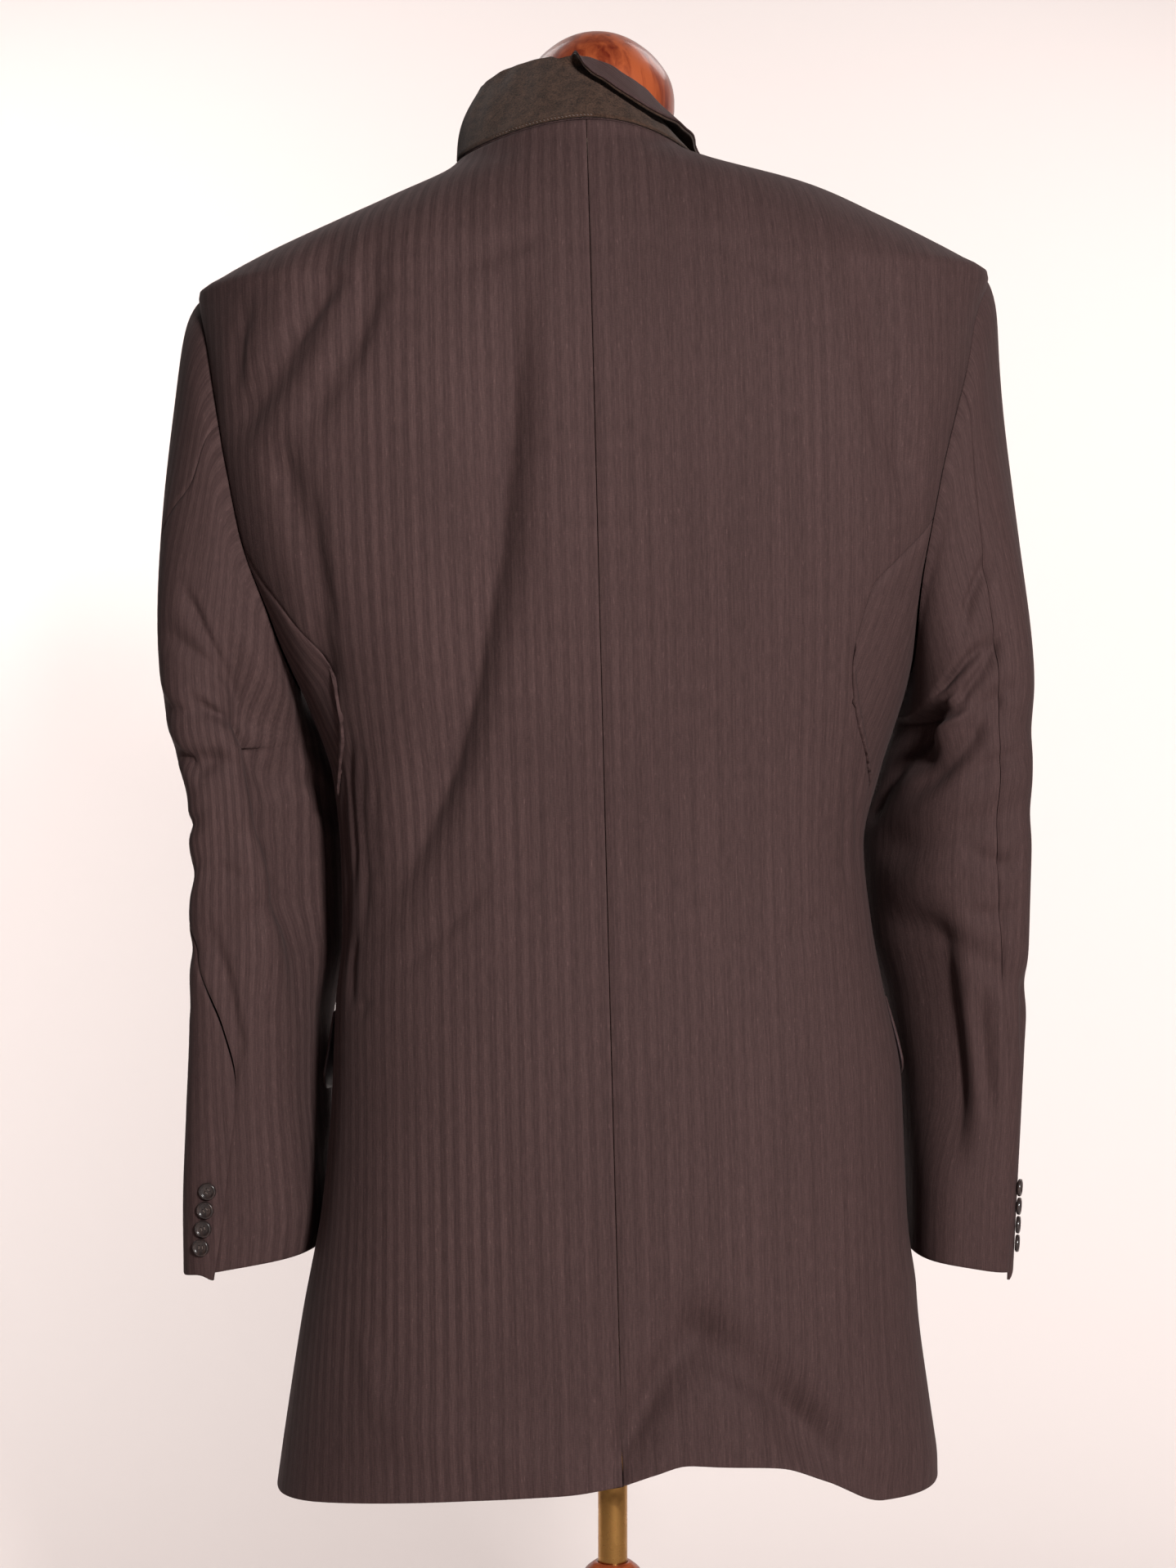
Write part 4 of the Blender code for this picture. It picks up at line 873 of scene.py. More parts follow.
def shadow_stripe_wool():
    """Worsted wool, woven with tonal shadow stripes: dull, with a faint soft sheen."""
    cloth = bpy.context.scene.blazer_cloth
    made, tree, shader = look("worsted_wool", Roughness=0.82, Sheen_Weight=0.05,
                              Sheen_Roughness=0.45, Specular_IOR_Level=0.12)
    shader.inputs["Sheen Tint"].default_value = (0.62, 0.50, 0.50, 1)
    uv = node(tree, "UVMap", uv_map="Cloth")
    across = node(tree, "SeparateXYZ", (uv,))
    phase = node(tree, "Math", (across, 1 / cloth.pitch), operation="MULTIPLY")
    turn = node(tree, "Math", (phase,), operation="FRACT")
    middle = node(tree, "Math", (turn, 0.5), operation="SUBTRACT")
    far = node(tree, "Math", (middle,), operation="ABSOLUTE")
    # The broad pale band takes about half of the repeat, the fine pale line a tenth
    band = node(tree, "MapRange", (far, 0.17, 0.33), interpolation_type="SMOOTHSTEP")
    line = node(tree, "MapRange", (far, 0.06, 0.01), interpolation_type="SMOOTHSTEP")
    # Yarns lie 0.35 mm apart; they are drawn about 1 mm apart to show in the picture
    lengthwise = node(tree, "Mapping", {"Vector": uv, "Scale": (1000, 90, 1)})
    yarn = node(tree, "TexNoise", {"Vector": lengthwise, "Scale": 1.0, "Detail": 3.0,
                                   "Roughness": 0.6}, noise_dimensions="2D")
    crosswise = node(tree, "Mapping", {"Vector": uv, "Scale": (500, 1500, 1)})
    weft = node(tree, "TexNoise", {"Vector": crosswise, "Scale": 1.0, "Detail": 2.0},
                noise_dimensions="2D")
    place = node(tree, "TexCoord", output="Object")
    cloud = node(tree, "TexNoise", {"Vector": place, "Scale": 7.0, "Detail": 3.0,
                                    "Roughness": 0.6})
    patchy = node(tree, "MapRange", (cloud, 0.3, 0.7, 0.25, 1.0))
    # Painted light: the stripes are painted stronger on the wearer's left, fading towards the
    # right
    aside = node(tree, "SeparateXYZ", (place,))
    painted_light_fade = node(tree, "MapRange", (aside, -0.05, 0.09, 0.2, 0.62))
    patches_and_painted_light = node(tree, "Math", (patchy, painted_light_fade), operation="MULTIPLY")
    striped = node(tree, "Math", (band, patches_and_painted_light), operation="MULTIPLY")
    lined = node(tree, "Math", (line, 0.16), operation="MULTIPLY")
    share = node(tree, "Math", (striped, lined), operation="ADD", use_clamp=True)
    tone = node(tree, "Mix", {0: share, 6: rgba(cloth.wool), 7: rgba(cloth.stripe)}, 2,
                data_type="RGBA")
    grain = node(tree, "MapRange", (yarn, 0.3, 0.7, 0.86, 1.16))
    speck = node(tree, "MapRange", (weft, 0.3, 0.75, 0.94, 1.10))
    # Uneven warp: soft streaks some 4 mm wide, and short pale slubs
    drawn = node(tree, "Mapping", {"Vector": uv, "Scale": (260, 5, 1)})
    streak = node(tree, "TexNoise", {"Vector": drawn, "Scale": 1.0, "Detail": 2.0},
                  noise_dimensions="2D")
    streaked = node(tree, "MapRange", (streak, 0.25, 0.75, 0.90, 1.10))
    short = node(tree, "Mapping", {"Vector": uv, "Scale": (620, 150, 1)})
    slub = node(tree, "TexNoise", {"Vector": short, "Scale": 1.0, "Detail": 1.0},
                noise_dimensions="2D")
    slubbed = node(tree, "MapRange", (slub, 0.7, 0.85, 1.0, 1.35))
    uneven = node(tree, "Math", (streaked, slubbed), operation="MULTIPLY")
    fine_grain = node(tree, "Math", (grain, speck), operation="MULTIPLY")
    both = node(tree, "Math", (fine_grain, uneven), operation="MULTIPLY")
    woven = node(tree, "Mix", {0: 1.0, 6: tone, 7: both}, 2, data_type="RGBA",
                 blend_type="MULTIPLY")
    height = node(tree, "Math", (yarn, weft), operation="ADD")
    raised = node(tree, "Math", (band, 0.5, height), operation="MULTIPLY_ADD")
    fine = node(tree, "Bump", {"Height": raised, "Strength": 0.35, "Distance": 0.00025})
    pucker = node(tree, "TexNoise", {"Vector": place, "Scale": 55.0, "Detail": 2.0})
    soft = node(tree, "Bump", {"Height": pucker, "Strength": 0.30, "Distance": 0.0012,
                               "Normal": fine})
    coloured(tree, shader, woven, soft)
    return made


def undercollar_felt():
    """Pressed wool felt: matte and mottled, with no thread lines."""
    made, tree, shader = look("pressed_felt", Roughness=0.95, Sheen_Weight=0.08,
                              Sheen_Roughness=0.6, Specular_IOR_Level=0.15)
    shade = rgba(bpy.context.scene.blazer_cloth.felt)
    place = node(tree, "TexCoord", output="Object")
    fibre = node(tree, "TexNoise", {"Vector": place, "Scale": 900.0, "Detail": 3.0,
                                    "Distortion": 0.6})
    mottle = node(tree, "TexNoise", {"Vector": place, "Scale": 150.0, "Detail": 5.0,
                                     "Roughness": 0.72})
    total = node(tree, "Math", (fibre, mottle), operation="ADD")
    tone = node(tree, "MapRange", (total, 0.75, 1.3, 0.40, 1.9))
    mixed = node(tree, "Mix", {0: 1.0, 6: shade, 7: tone}, 2, data_type="RGBA",
                 blend_type="MULTIPLY")
    bump = node(tree, "Bump", {"Height": fibre, "Strength": 0.5, "Distance": 0.0004})
    coloured(tree, shader, mixed, bump)
    return made


def satin_lining():
    """Satin-woven viscose: smooth, with a soft gloss."""
    shade = rgba(bpy.context.scene.blazer_cloth.lining)
    made, tree, shader = look("satin_viscose", Roughness=0.5, Base_Color=shade,
                              Specular_IOR_Level=0.3)
    uv = node(tree, "UVMap", uv_map="Cloth")
    lengthwise = node(tree, "Mapping", {"Vector": uv, "Scale": (1500, 200, 1)})
    floats = node(tree, "TexNoise", {"Vector": lengthwise, "Scale": 1.0}, noise_dimensions="2D")
    bump = node(tree, "Bump", {"Height": floats, "Strength": 0.2, "Distance": 0.0002})
    tree.links.new(bump, shader.inputs["Normal"])
    return made


def polished_horn():
    """Buffalo horn, cut and polished: near black with faint brown streaks and a clear gloss."""
    made, tree, shader = look("polished_horn", Roughness=0.28, Coat_Weight=0.3,
                              Coat_Roughness=0.12, IOR=1.54)
    shade = rgba(bpy.context.scene.blazer_cloth.horn)
    place = node(tree, "TexCoord", output="Object")
    drawn = node(tree, "Mapping", {"Vector": place, "Scale": (900, 900, 160)})
    streak = node(tree, "TexNoise", {"Vector": drawn, "Scale": 0.5, "Detail": 3.0,
                                     "Distortion": 1.2})
    tone = node(tree, "MapRange", (streak, 0.45, 0.7, 0.0, 0.5))
    mixed = node(tree, "Mix", {0: tone, 6: shade, 7: rgba(linear("#54403a"))}, 2,
                 data_type="RGBA")
    tree.links.new(mixed, shader.inputs["Base Color"])
    return made


def sewing_thread():
    """Spun polyester thread, with its twist as a fine bump."""
    shade = rgba(bpy.context.scene.blazer_cloth.thread)
    made, tree, shader = look("spun_thread", Roughness=0.7, Base_Color=shade, Sheen_Weight=0.2)
    place = node(tree, "TexCoord", output="Object")
    twist = node(tree, "TexNoise", {"Vector": place, "Scale": 2500.0})
    bump = node(tree, "Bump", {"Height": twist, "Strength": 0.4, "Distance": 0.0001})
    tree.links.new(bump, shader.inputs["Normal"])
    return made


def plain_linen():
    """Plain-woven linen, glued over the form: slubby threads about 1 mm apart."""
    made, tree, shader = look("plain_linen", Roughness=0.88, Specular_IOR_Level=0.25)
    shade = rgba(bpy.context.scene.blazer_form.linen)
    place = node(tree, "TexCoord", output="Object")
    upright = node(tree, "Mapping", {"Vector": place, "Scale": (900, 900, 70)})
    warp = node(tree, "TexNoise", {"Vector": upright, "Scale": 1.0, "Detail": 2.0})
    level = node(tree, "Mapping", {"Vector": place, "Scale": (70, 70, 900)})
    weft = node(tree, "TexNoise", {"Vector": level, "Scale": 1.0, "Detail": 2.0})
    total = node(tree, "Math", (warp, weft), operation="ADD")
    tone = node(tree, "MapRange", (total, 0.7, 1.3, 0.78, 1.12))
    mixed = node(tree, "Mix", {0: 1.0, 6: shade, 7: tone}, 2, data_type="RGBA",
                 blend_type="MULTIPLY")
    bump = node(tree, "Bump", {"Height": total, "Strength": 0.5, "Distance": 0.0004})
    coloured(tree, shader, mixed, bump)
    return made


def polished_mahogany():
    """Mahogany, turned and french polished: reddish grain under a clear gloss."""
    made, tree, shader = look("polished_mahogany", Roughness=0.42, Coat_Weight=0.25,
                              Coat_Roughness=0.12, IOR=1.5, Specular_IOR_Level=0.35)
    form = bpy.context.scene.blazer_form
    place = node(tree, "TexCoord", output="Object")
    long = node(tree, "Mapping", {"Vector": place, "Scale": (1, 1, 0.12)})
    grain = node(tree, "TexNoise", {"Vector": long, "Scale": 140.0, "Detail": 5.0,
                                    "Roughness": 0.65, "Distortion": 0.5})
    figure = node(tree, "TexNoise", {"Vector": long, "Scale": 26.0, "Detail": 3.0,
                                     "Distortion": 1.5})
    total = node(tree, "Math", (grain, figure), operation="ADD")
    share = node(tree, "MapRange", (total, 0.85, 1.25))
    mixed = node(tree, "Mix", {0: share, 6: rgba(form.wood), 7: rgba(form.pores)}, 2,
                 data_type="RGBA")
    bump = node(tree, "Bump", {"Height": grain, "Strength": 0.12, "Distance": 0.0002})
    coloured(tree, shader, mixed, bump)
    return made


def satin_brass():
    """Brass tube, drawn and hand rubbed: warm, with a few darker spots of age."""
    made, tree, shader = look("satin_brass", Metallic=1.0)
    shade = rgba(bpy.context.scene.blazer_form.brass)
    place = node(tree, "TexCoord", output="Object")
    drawn = node(tree, "Mapping", {"Vector": place, "Scale": (1, 1, 0.04)})
    rubbed = node(tree, "TexNoise", {"Vector": drawn, "Scale": 1200.0, "Detail": 2.0})
    aged = node(tree, "TexNoise", {"Vector": place, "Scale": 60.0, "Detail": 4.0})
    dull = node(tree, "MapRange", (aged, 0.4, 0.75, 0.26, 0.48))
    tree.links.new(dull, shader.inputs["Roughness"])
    tone = node(tree, "MapRange", (aged, 0.55, 0.8))
    mixed = node(tree, "Mix", {0: tone, 6: shade, 7: rgba(linear("#6d4c2c"))}, 2,
                 data_type="RGBA")
    bump = node(tree, "Bump", {"Height": rubbed, "Strength": 0.15, "Distance": 0.0001})
    coloured(tree, shader, mixed, bump)
    return made


def matte_paper():
    """Seamless background paper: even and dull."""
    shade = rgba(bpy.context.scene.blazer_stage.paper)
    return look("matte_paper", Roughness=0.95, Base_Color=shade, Specular_IOR_Level=0.1)[0]


LOOKS = {}


def finish(name):
    """The material of a name, made at its first use."""
    makers = {"wool": shadow_stripe_wool, "felt": undercollar_felt, "lining": satin_lining,
              "horn": polished_horn, "thread": sewing_thread, "linen": plain_linen,
              "mahogany": polished_mahogany, "brass": satin_brass, "paper": matte_paper}
    if name not in LOOKS:
        LOOKS[name] = makers[name]()
    return LOOKS[name]


# Panels of the body

def walled(points, flip, rolls, wall, lift=0.0):
    """Outer and inner grid of a cloth that lies on points, rolled at its borders."""
    out = grid_normal(points, flip)
    raised = points + out * lift
    outer = raised - out * dipped(raised, rolls)
    return outer, raised - out * (wall - INNER_ROLL * dipped(points, rolls))


def sewn_piece(name, points, grids, uv, flip, finishes=("wool",)):
    """Makes a piece of cloth from its two grids, ties it to the frame and hides its solid."""
    materials = [finish(kind) for kind in finishes]
    piece = cloth_piece(f"{name}_cloth", *grids, uv, materials, flip)
    dress(piece, name, finishes[0], *cut(points))


def body_map(turn, height, side, start):
    """Place on the flat cloth of a panel whose stripes run from the turn start, in metres."""
    return np.stack([across_cloth(turn, height, side, start), height], -1) * MM


def panel_grid(first, last, side, pitch, columns):
    """Turn and height of a panel from hem to neck, between its edges' turns at each level."""
    levels = rows_between(HEM, NECK, pitch)[:, None]
    u = steps(columns, PANEL_WIDTH)[None, :]
    turn = first(levels) * (1 - u) + last(levels) * u
    height = hem_wave(levels, turn, side)
    return turn, height - neck_drop(levels, turn)


def back_grid(side):
    """Grid of a back panel, from the centre back seam to the side seam."""
    return panel_grid(np.zeros_like, side_seam(side), side, 3.6, 74)


def front_grid(side):
    """Grid of a front panel, from its seam to the front edge."""
    return panel_grid(front_seam(side), front_edge(side), side, 4.2, 58)


def underarm(side, u):
    """Top edge of the side panel, from the back junction to the front one."""
    start = float(side_seam(side)(np.float64(JUNCTION)))
    end = float(front_seam(side)(np.float64(JUNCTION)))
    dip = (JUNCTION - UNDERARM) * np.sqrt(np.maximum(0, 1 - (2 * u - 1) ** 2)) ** 0.85
    return start + (end - start) * u, JUNCTION - dip


def side_grid(side):
    """Rows below the armpit are level, those above squeeze under the armhole."""
    u = steps(30, 105)
    u = (u + (1 - np.cos(pi * u)) / 2) / 2
    _, top = underarm(side, u)
    levels = rows_between(HEM, JUNCTION, 3.6)[:, None]
    share = np.clip((levels - LOW_ROWS) / (JUNCTION - LOW_ROWS), 0, 1)
    height = np.where(levels <= LOW_ROWS, levels, LOW_ROWS + (top[None, :] - LOW_ROWS) * share)
    back = side_seam(side)(levels)
    front = front_seam(side)(levels)
    turn = back * (1 - u) + front * u
    wave = hem_wave(levels, turn, side)
    return turn, height + (wave - levels) * (levels <= LOW_ROWS)


class BodyPanels(bpy.types.Operator):
    """Back, side and front panels, with the underlap of the centre vent"""
    bl_idname = "blazer.body_panels"
    bl_label = "Body panels"

    def execute(self, context):
        wall = context.scene.blazer_cloth.wall / MM
        plan = (("back", back_grid, 0.0, SEWN), ("side", side_grid, pi / 2, SEWN),
                ("front", front_grid, pi, TURNED))
        for side, word in SIDES:
            flip = side > 0
            for part, grid, start, far_edge in plan:
                turn, height = grid(side)
                points = body(turn, height, side)
                if part == "back" and side > 0:
                    # The vent's free edge lies a little proud of the underlap
                    free = ease((VENT_TOP - 8 - height) / 60)
                    near = np.exp(-(edge_lengths(points)[0] / 16) ** 2)
                    rise = (VENT_RISE * free * near)[..., None]
                    points = points + grid_normal(points, flip) * rise
                if part == "front":
                    rise = lap(points, side)[..., None]
                    points = points + body_normal(turn, height, side) * rise
                grids = walled(points, flip, (SEWN, far_edge, TURNED, SEWN), wall)
                sewn_piece(f"{part}_{word}", points, grids, body_map(turn, height, side, start),
                           flip)
        self.underlap(wall)
        return {"FINISHED"}

    def underlap(self, wall):
        turn, height = back_grid(1)
        points = body(turn, height, 1)
        reach = edge_lengths(points)[0]
        rows = height[:, 0] < VENT_TOP
        columns = reach[0] < UNDERLAP
        turn, height, points = (g[rows][:, columns] for g in (turn, height, points))
        grids = walled(points, True, (OPEN, TURNED, TURNED, OPEN), THIN_WALL, -wall - LAY)
        sewn_piece("vent_underlap", points, grids, body_map(turn, height, 1, 0.0), True)


# Lapels

class Lapels(bpy.types.Operator):
    """Lapels, rolled back from the front edge"""
    bl_idname = "blazer.lapels"
    bl_label = "Lapels"

    def execute(self, context):
        wall = context.scene.blazer_cloth.wall / MM
        for side, word in SIDES:
            v = steps(96, LAPEL_LENGTH)[:, None]
            u = steps(24, LAPEL_WIDTH)[None, :]
            first = LAPEL_EDGE[0][0] + (RIGHT_BREAK if side < 0 else 0)
            inner_z = first + (GORGE - 1.5 - first) * v
            outer_z = first + (LAPEL_EDGE[-1][0] - first) * v
            inner_x = smooth(FRONT_EDGE, 1, inner_z) + 0.8
            if side < 0:
                inner_x = np.maximum(inner_x, 4.8 - inner_x)
            outer_x = smooth(LAPEL_EDGE, 1, outer_z)
            x = inner_x + (outer_x - inner_x) * u
            z = inner_z + (outer_z - inner_z) * u
            turn = turn_at_across(x, z, side)
            base = body(turn, z, side)
            out = body_normal(turn, z, side)
            base = base + out * lap(base, side)[..., None]
            roll = LAPEL_ROLL * np.sin(pi * np.clip(u * 1.1, 0, 1)) * ease(v * 6)
            points = base + out * (LAY + roll + wall)[..., None]
            flip = side < 0
            grids = walled(points, flip, (OPEN, TURNED, OPEN, TURNED), wall)
            left, _, low, _ = edge_lengths(points)
            uv = np.stack([left, low], -1) * MM
            sewn_piece(f"lapel_{word}", points, grids, uv, flip)
        return {"FINISHED"}


# Sleeves

def arm_section(angle, height, side):
    """Point of the sleeve's smooth tube below the armpit."""
    rows = SLEEVE_LEFT[::-1] if side > 0 else SLEEVE_RIGHT[::-1]
    outer, inner, back, front, skew = (smooth(rows, k, height) for k in range(1, 6))
    half = (outer - inner) / 2
    slant = skew * (back - front) / 2
    power = SLEEVE_SQUARE / (SLEEVE_SQUARE - 1)
    straight = (half ** power - slant ** power) ** (1 / power)
    c = np.cos(angle)
    s = np.sin(angle)
    size = (np.abs(c) ** SLEEVE_SQUARE + np.abs(s) ** SLEEVE_SQUARE) ** (-1 / SLEEVE_SQUARE)
    x = (outer + inner) / 2 + (straight * c + slant * s) * size
    y = (back + front) / 2 + (back - front) / 2 * s * size
    return np.stack([side * x, y, np.asarray(height) + 0 * x], axis=-1)


class Sleeve:
    """The sleeve's outer face as one tube from the armhole to the cuff."""

    def __init__(self, side):
        self.side = side
        high = rows_between(JUNCTION, SHOULDER, 4.0)[1:-1]
        u = (1 - np.cos(pi * np.linspace(0, 1, 41))) / 2
        under_turn, under_top = underarm(side, u)
        back = side_seam(side)(high[::-1])
        front = front_seam(side)(high)
        turn = np.concatenate([[pi / 2], back, under_turn, front])
        height = np.concatenate([[SHOULDER], high[::-1], under_top, high])
        loop = body(turn, height, side)
        out = body_normal(turn, height, side)
        middle = (SHOULDER + UNDERARM) / 2
        angle = np.arctan2(loop[:, 1], (loop[:, 2] - middle) * ARMHOLE_FLAT)
        self.angle = np.unwrap(np.concatenate([angle, angle[:1] + 2 * pi]))
        self.loop = np.concatenate([loop, loop[:1]])
        self.out = np.concatenate([out, out[:1]])
        self.cuff = CUFF_LEFT if side > 0 else CUFF_RIGHT
        at = 0 if side > 0 else 1
        self.spring = CAP_OUT[at]
        self.head = HEAD[at]
        self.bow = BOW[at]
        self.tip = 0.0
        self.creases = CREASES_LEFT if side > 0 else CREASES_RIGHT

    def at_loop(self, angle, values):
        angle = np.mod(angle - self.angle[0], 2 * pi) + self.angle[0]
        return np.stack([np.interp(angle, self.angle, values[:, k]) for k in range(3)], -1)

    def start(self, angle):
        """Edge at the armhole, how it leaves it, and how far it lies beside the panel."""
        edge = self.at_loop(angle, self.loop)
        out = unit(self.at_loop(angle, self.out))
        under = ease((-np.cos(angle) - 0.2) / 0.8)
        leave = np.stack([
            self.side * (self.spring * (1 - under) + 0.12 * under), 0.10 * np.sin(angle),
            -0.9 + 0 * under,
        ], axis=-1)
        return edge + out * (0.7 * under)[..., None], unit(leave), under

    def cap(self, angle, share):
        """Between the armhole and the level of the armpit."""
        edge, leave, under = self.start(angle)
        end = arm_section(angle, np.full(np.shape(angle), float(SLEEVE_TOP)), self.side)
        far = np.linalg.norm(end - edge, axis=-1, keepdims=True)
        t = share[..., None]
        h00 = (1 + 2 * t) * (1 - t) ** 2
        h10 = t * (1 - t) ** 2
        h01 = t * t * (3 - 2 * t)
        h11 = -t * t * (1 - t)
        down = np.array([0.0, 0.0, -1.0])
        roll = self.head * (1 - under) * share / HEAD_AT * np.exp(1 - share / HEAD_AT)
        bow = self.bow * (1 + np.cos(angle)) / 2 * share ** 2 * (1 - share) * 6.75
        out = (roll + bow)[..., None] * (self.side, 0, 0)
        return edge * h00 + leave * far * h10 + end * h01 + down * far * h11 + out

    def smooth_point(self, angle, share):
        angle, share = np.broadcast_arrays(np.asarray(angle, float), np.asarray(share, float))
        upper = self.cap(angle, np.clip(share / CAP_SHARE, 0, 1))
        down = np.clip((share - CAP_SHARE) / (1 - CAP_SHARE), 0, 1)
        hind = self.hindarm(share)
        tip = self.tip * np.exp(-((angle - hind) / TIP_WIDTH) ** 2)
        cuff = self.cuff - CUFF_SLANT * np.cos(angle) - tip
        lower = arm_section(angle, SLEEVE_TOP + (cuff - SLEEVE_TOP) * down, self.side)
        return np.where((share <= CAP_SHARE)[..., None], upper, lower)

    def smooth_normal(self, angle, share):
        share = np.clip(share, 0.002, 0.998)
        du = self.smooth_point(angle + 2e-3, share) - self.smooth_point(angle - 2e-3, share)
        dv = self.smooth_point(angle, share + 2e-3) - self.smooth_point(angle, share - 2e-3)
        return unit(np.cross(du, dv)) * -self.side

    def point(self, angle, share):
        base = self.smooth_point(angle, share)
        moved = np.zeros(base.shape[:-1])
        degrees = np.degrees(angle)
        for side, a0, s0, a1, s1, wide, long, depth in SLEEVE_FOLDS:
            if side != self.side:
                continue
            t = np.clip((degrees - a0) / (a1 - a0), 0, 1)
            off = (share - (s0 + (s1 - s0) * t)) / long
            end = np.maximum(0, np.maximum(a0 - degrees, degrees - a1)) / wide
            moved = moved + depth * np.exp(-1.2 * (off ** 2 + end ** 2))
        lines = [(left, right, depth, [(a * DEGREE, s * 0.001 * SLEEVE_LENGTH) for a, s in line])
                 for left, right, depth, line in self.creases]
        moved = moved + crease_depth(degrees * DEGREE, share * SLEEVE_LENGTH, lines)
        x, y, z = base[..., 0], base[..., 1], base[..., 2]
        moved = moved + drape(x * 0.8, y * 1.1, z)
        moved = moved * ease(share / 0.1)
        return base + self.smooth_normal(angle, share) * moved[..., None]

    def hindarm(self, share):
        return np.radians(smooth(HINDARM, 1 if self.side > 0 else 2, share))


class Sleeves(bpy.types.Operator):
    """Two-piece sleeves with their vents"""
    bl_idname = "blazer.sleeves"
    bl_label = "Sleeves"

    def execute(self, context):
        wall = context.scene.blazer_cloth.wall / MM
        fore = radians(FOREARM)
        for side, word in SIDES:
            sleeve = Sleeve(side)
            share = steps(176, SLEEVE_LENGTH)[:, None]
            hind = sleeve.hindarm(share)
            for part, first, last, columns in (
                    ("top", fore - 2 * pi, hind, 66), ("under", hind, fore, 50)):
                sleeve.tip = VENT_TIP if part == "top" else 0.0
                u = steps(columns, 200)[None, :]
                angle = first * (1 - u) + last * u
                self.half(sleeve, part, word, angle, share, wall)
        return {"FINISHED"}

    def half(self, sleeve, part, word, angle, share, wall):
        angle, share = np.broadcast_arrays(angle, share)
        points = sleeve.point(angle, share)
        out = sleeve.smooth_normal(angle, share)
        edge = sleeve.at_loop(angle, sleeve.out)
        _, _, under = sleeve.start(angle)
        both = ease(1 - share / 0.05) * (1 - under)
        way = unit(out + edge * both[..., None])
        rolls = (SEWN, SEWN, HEAD_SEWN, TURNED)
        grids = (points - way * dipped(points, rolls), points - way * wall)
        # The stripes run down the sleeve and draw a little closer towards the cuff
        anchor = 0 if part == "top" else UNDER_ANCHOR
        round_it = (angle - anchor) * (SLEEVE_ROUND - (SLEEVE_ROUND - CUFF_ROUND) * share)
        uv = np.stack([round_it, -share * SLEEVE_LENGTH], -1) * MM
        sewn_piece(f"{part}_sleeve_{word}", points, grids, uv, sleeve.side > 0)


# Collar

def neckline(share):
    """Turn, height and side at a share of the neckline, 0 and 1 at the two gorges."""
    share = np.asarray(share, float)
    side = np.where(share < 0.5, -1, 1)
    way = np.abs(share - 0.5) * 2
    front = np.clip((way - NECK_SHARE) / (1 - NECK_SHARE), 0, 1)
    level = NECK - (NECK - GORGE) * front ** 1.3
    back_turn = NECK_POINT * np.clip(way / NECK_SHARE, 0, 1)
    front_turn = np.where(side > 0, front_edge(1)(level), front_edge(-1)(level))
    turn = np.where(way <= NECK_SHARE, back_turn, front_turn)
    return turn, level - neck_drop(level, turn), side


def either_side(surface, turn, height, side):
    """A surface's value on the side that each place is on."""
    left = surface(turn, height, 1)
    right = surface(turn, height, -1)
    return np.where((side > 0)[..., None], left, right)


def collar_tangent(share):
    """Direction along the neckline towards the left gorge."""
    ends = []
    for step in (-0.01, 0.01):
        at = np.clip(np.asarray(share) + step, 0, 1)
        turn, height, side = neckline(at)
        ends.append(either_side(plain_body, turn, height, side))
    return unit(ends[1] - ends[0])


def collar_line(share, across):
    """Middle of the collar cloth at a share of the neckline and a distance from its seam."""
    turn, height, side = neckline(share)
    out = either_side(plain_normal, turn, height, side)
    seam = either_side(plain_body, turn, height, side) - out
    flat = unit(out * (1, 1, 0))
    lean, fold, bend, sweep, width = (smooth(COLLAR, k, share) for k in range(1, 6))
    reach = pi * FOLD_RADIUS
    parts = 36
    d = across / parts
    place = np.zeros(np.shape(share) + (2,))
    for k in range(parts):
        s = (k + 0.5) * d
        part = ease((s - fold + reach / 2) / reach)
        angle = np.radians(90 + lean - bend * part)
        place[..., 0] += np.cos(angle) * d
        place[..., 1] += np.sin(angle) * d
    ahead = collar_tangent(share)
    swept = sweep * ease((across - fold) / (width - fold))
    middle = seam + flat * place[..., :1] + ahead * (swept * side)[..., None]
    rise = unit(np.cross(ahead, flat))
    middle = middle + rise * place[..., 1:]
    last = np.radians(90 + lean - bend * ease((across - fold + reach / 2) / reach))
    inner = flat * (-np.sin(last))[..., None] + rise * np.cos(last)[..., None]
    return middle, inner


def collar_grid():
    """Share of the neckline and distance from the seam, close together at the fold."""
    share = steps(220, 460)[:, None]
    fold = smooth(COLLAR, 2, share)
    width = smooth(COLLAR, 5, share)
    reach = pi * FOLD_RADIUS
    low = (fold - reach / 2 - 1.5) * np.linspace(0, 1, 15)[None, :] + 1.5
    turn = fold - reach / 2 + reach * np.linspace(0, 1, 13)[None, 1:]
    leaf = fold + reach / 2 + (width - fold - reach / 2) * np.linspace(0, 1, 18)[None, 1:]
    across = np.concatenate([low, turn, leaf], axis=1)
    across = np.minimum(across, width - 0.02)
    bump = np.arange(across.shape[1])[None, :] * 0.004
    across = np.maximum.accumulate(across + bump, axis=1)
    return share + 0 * across, across


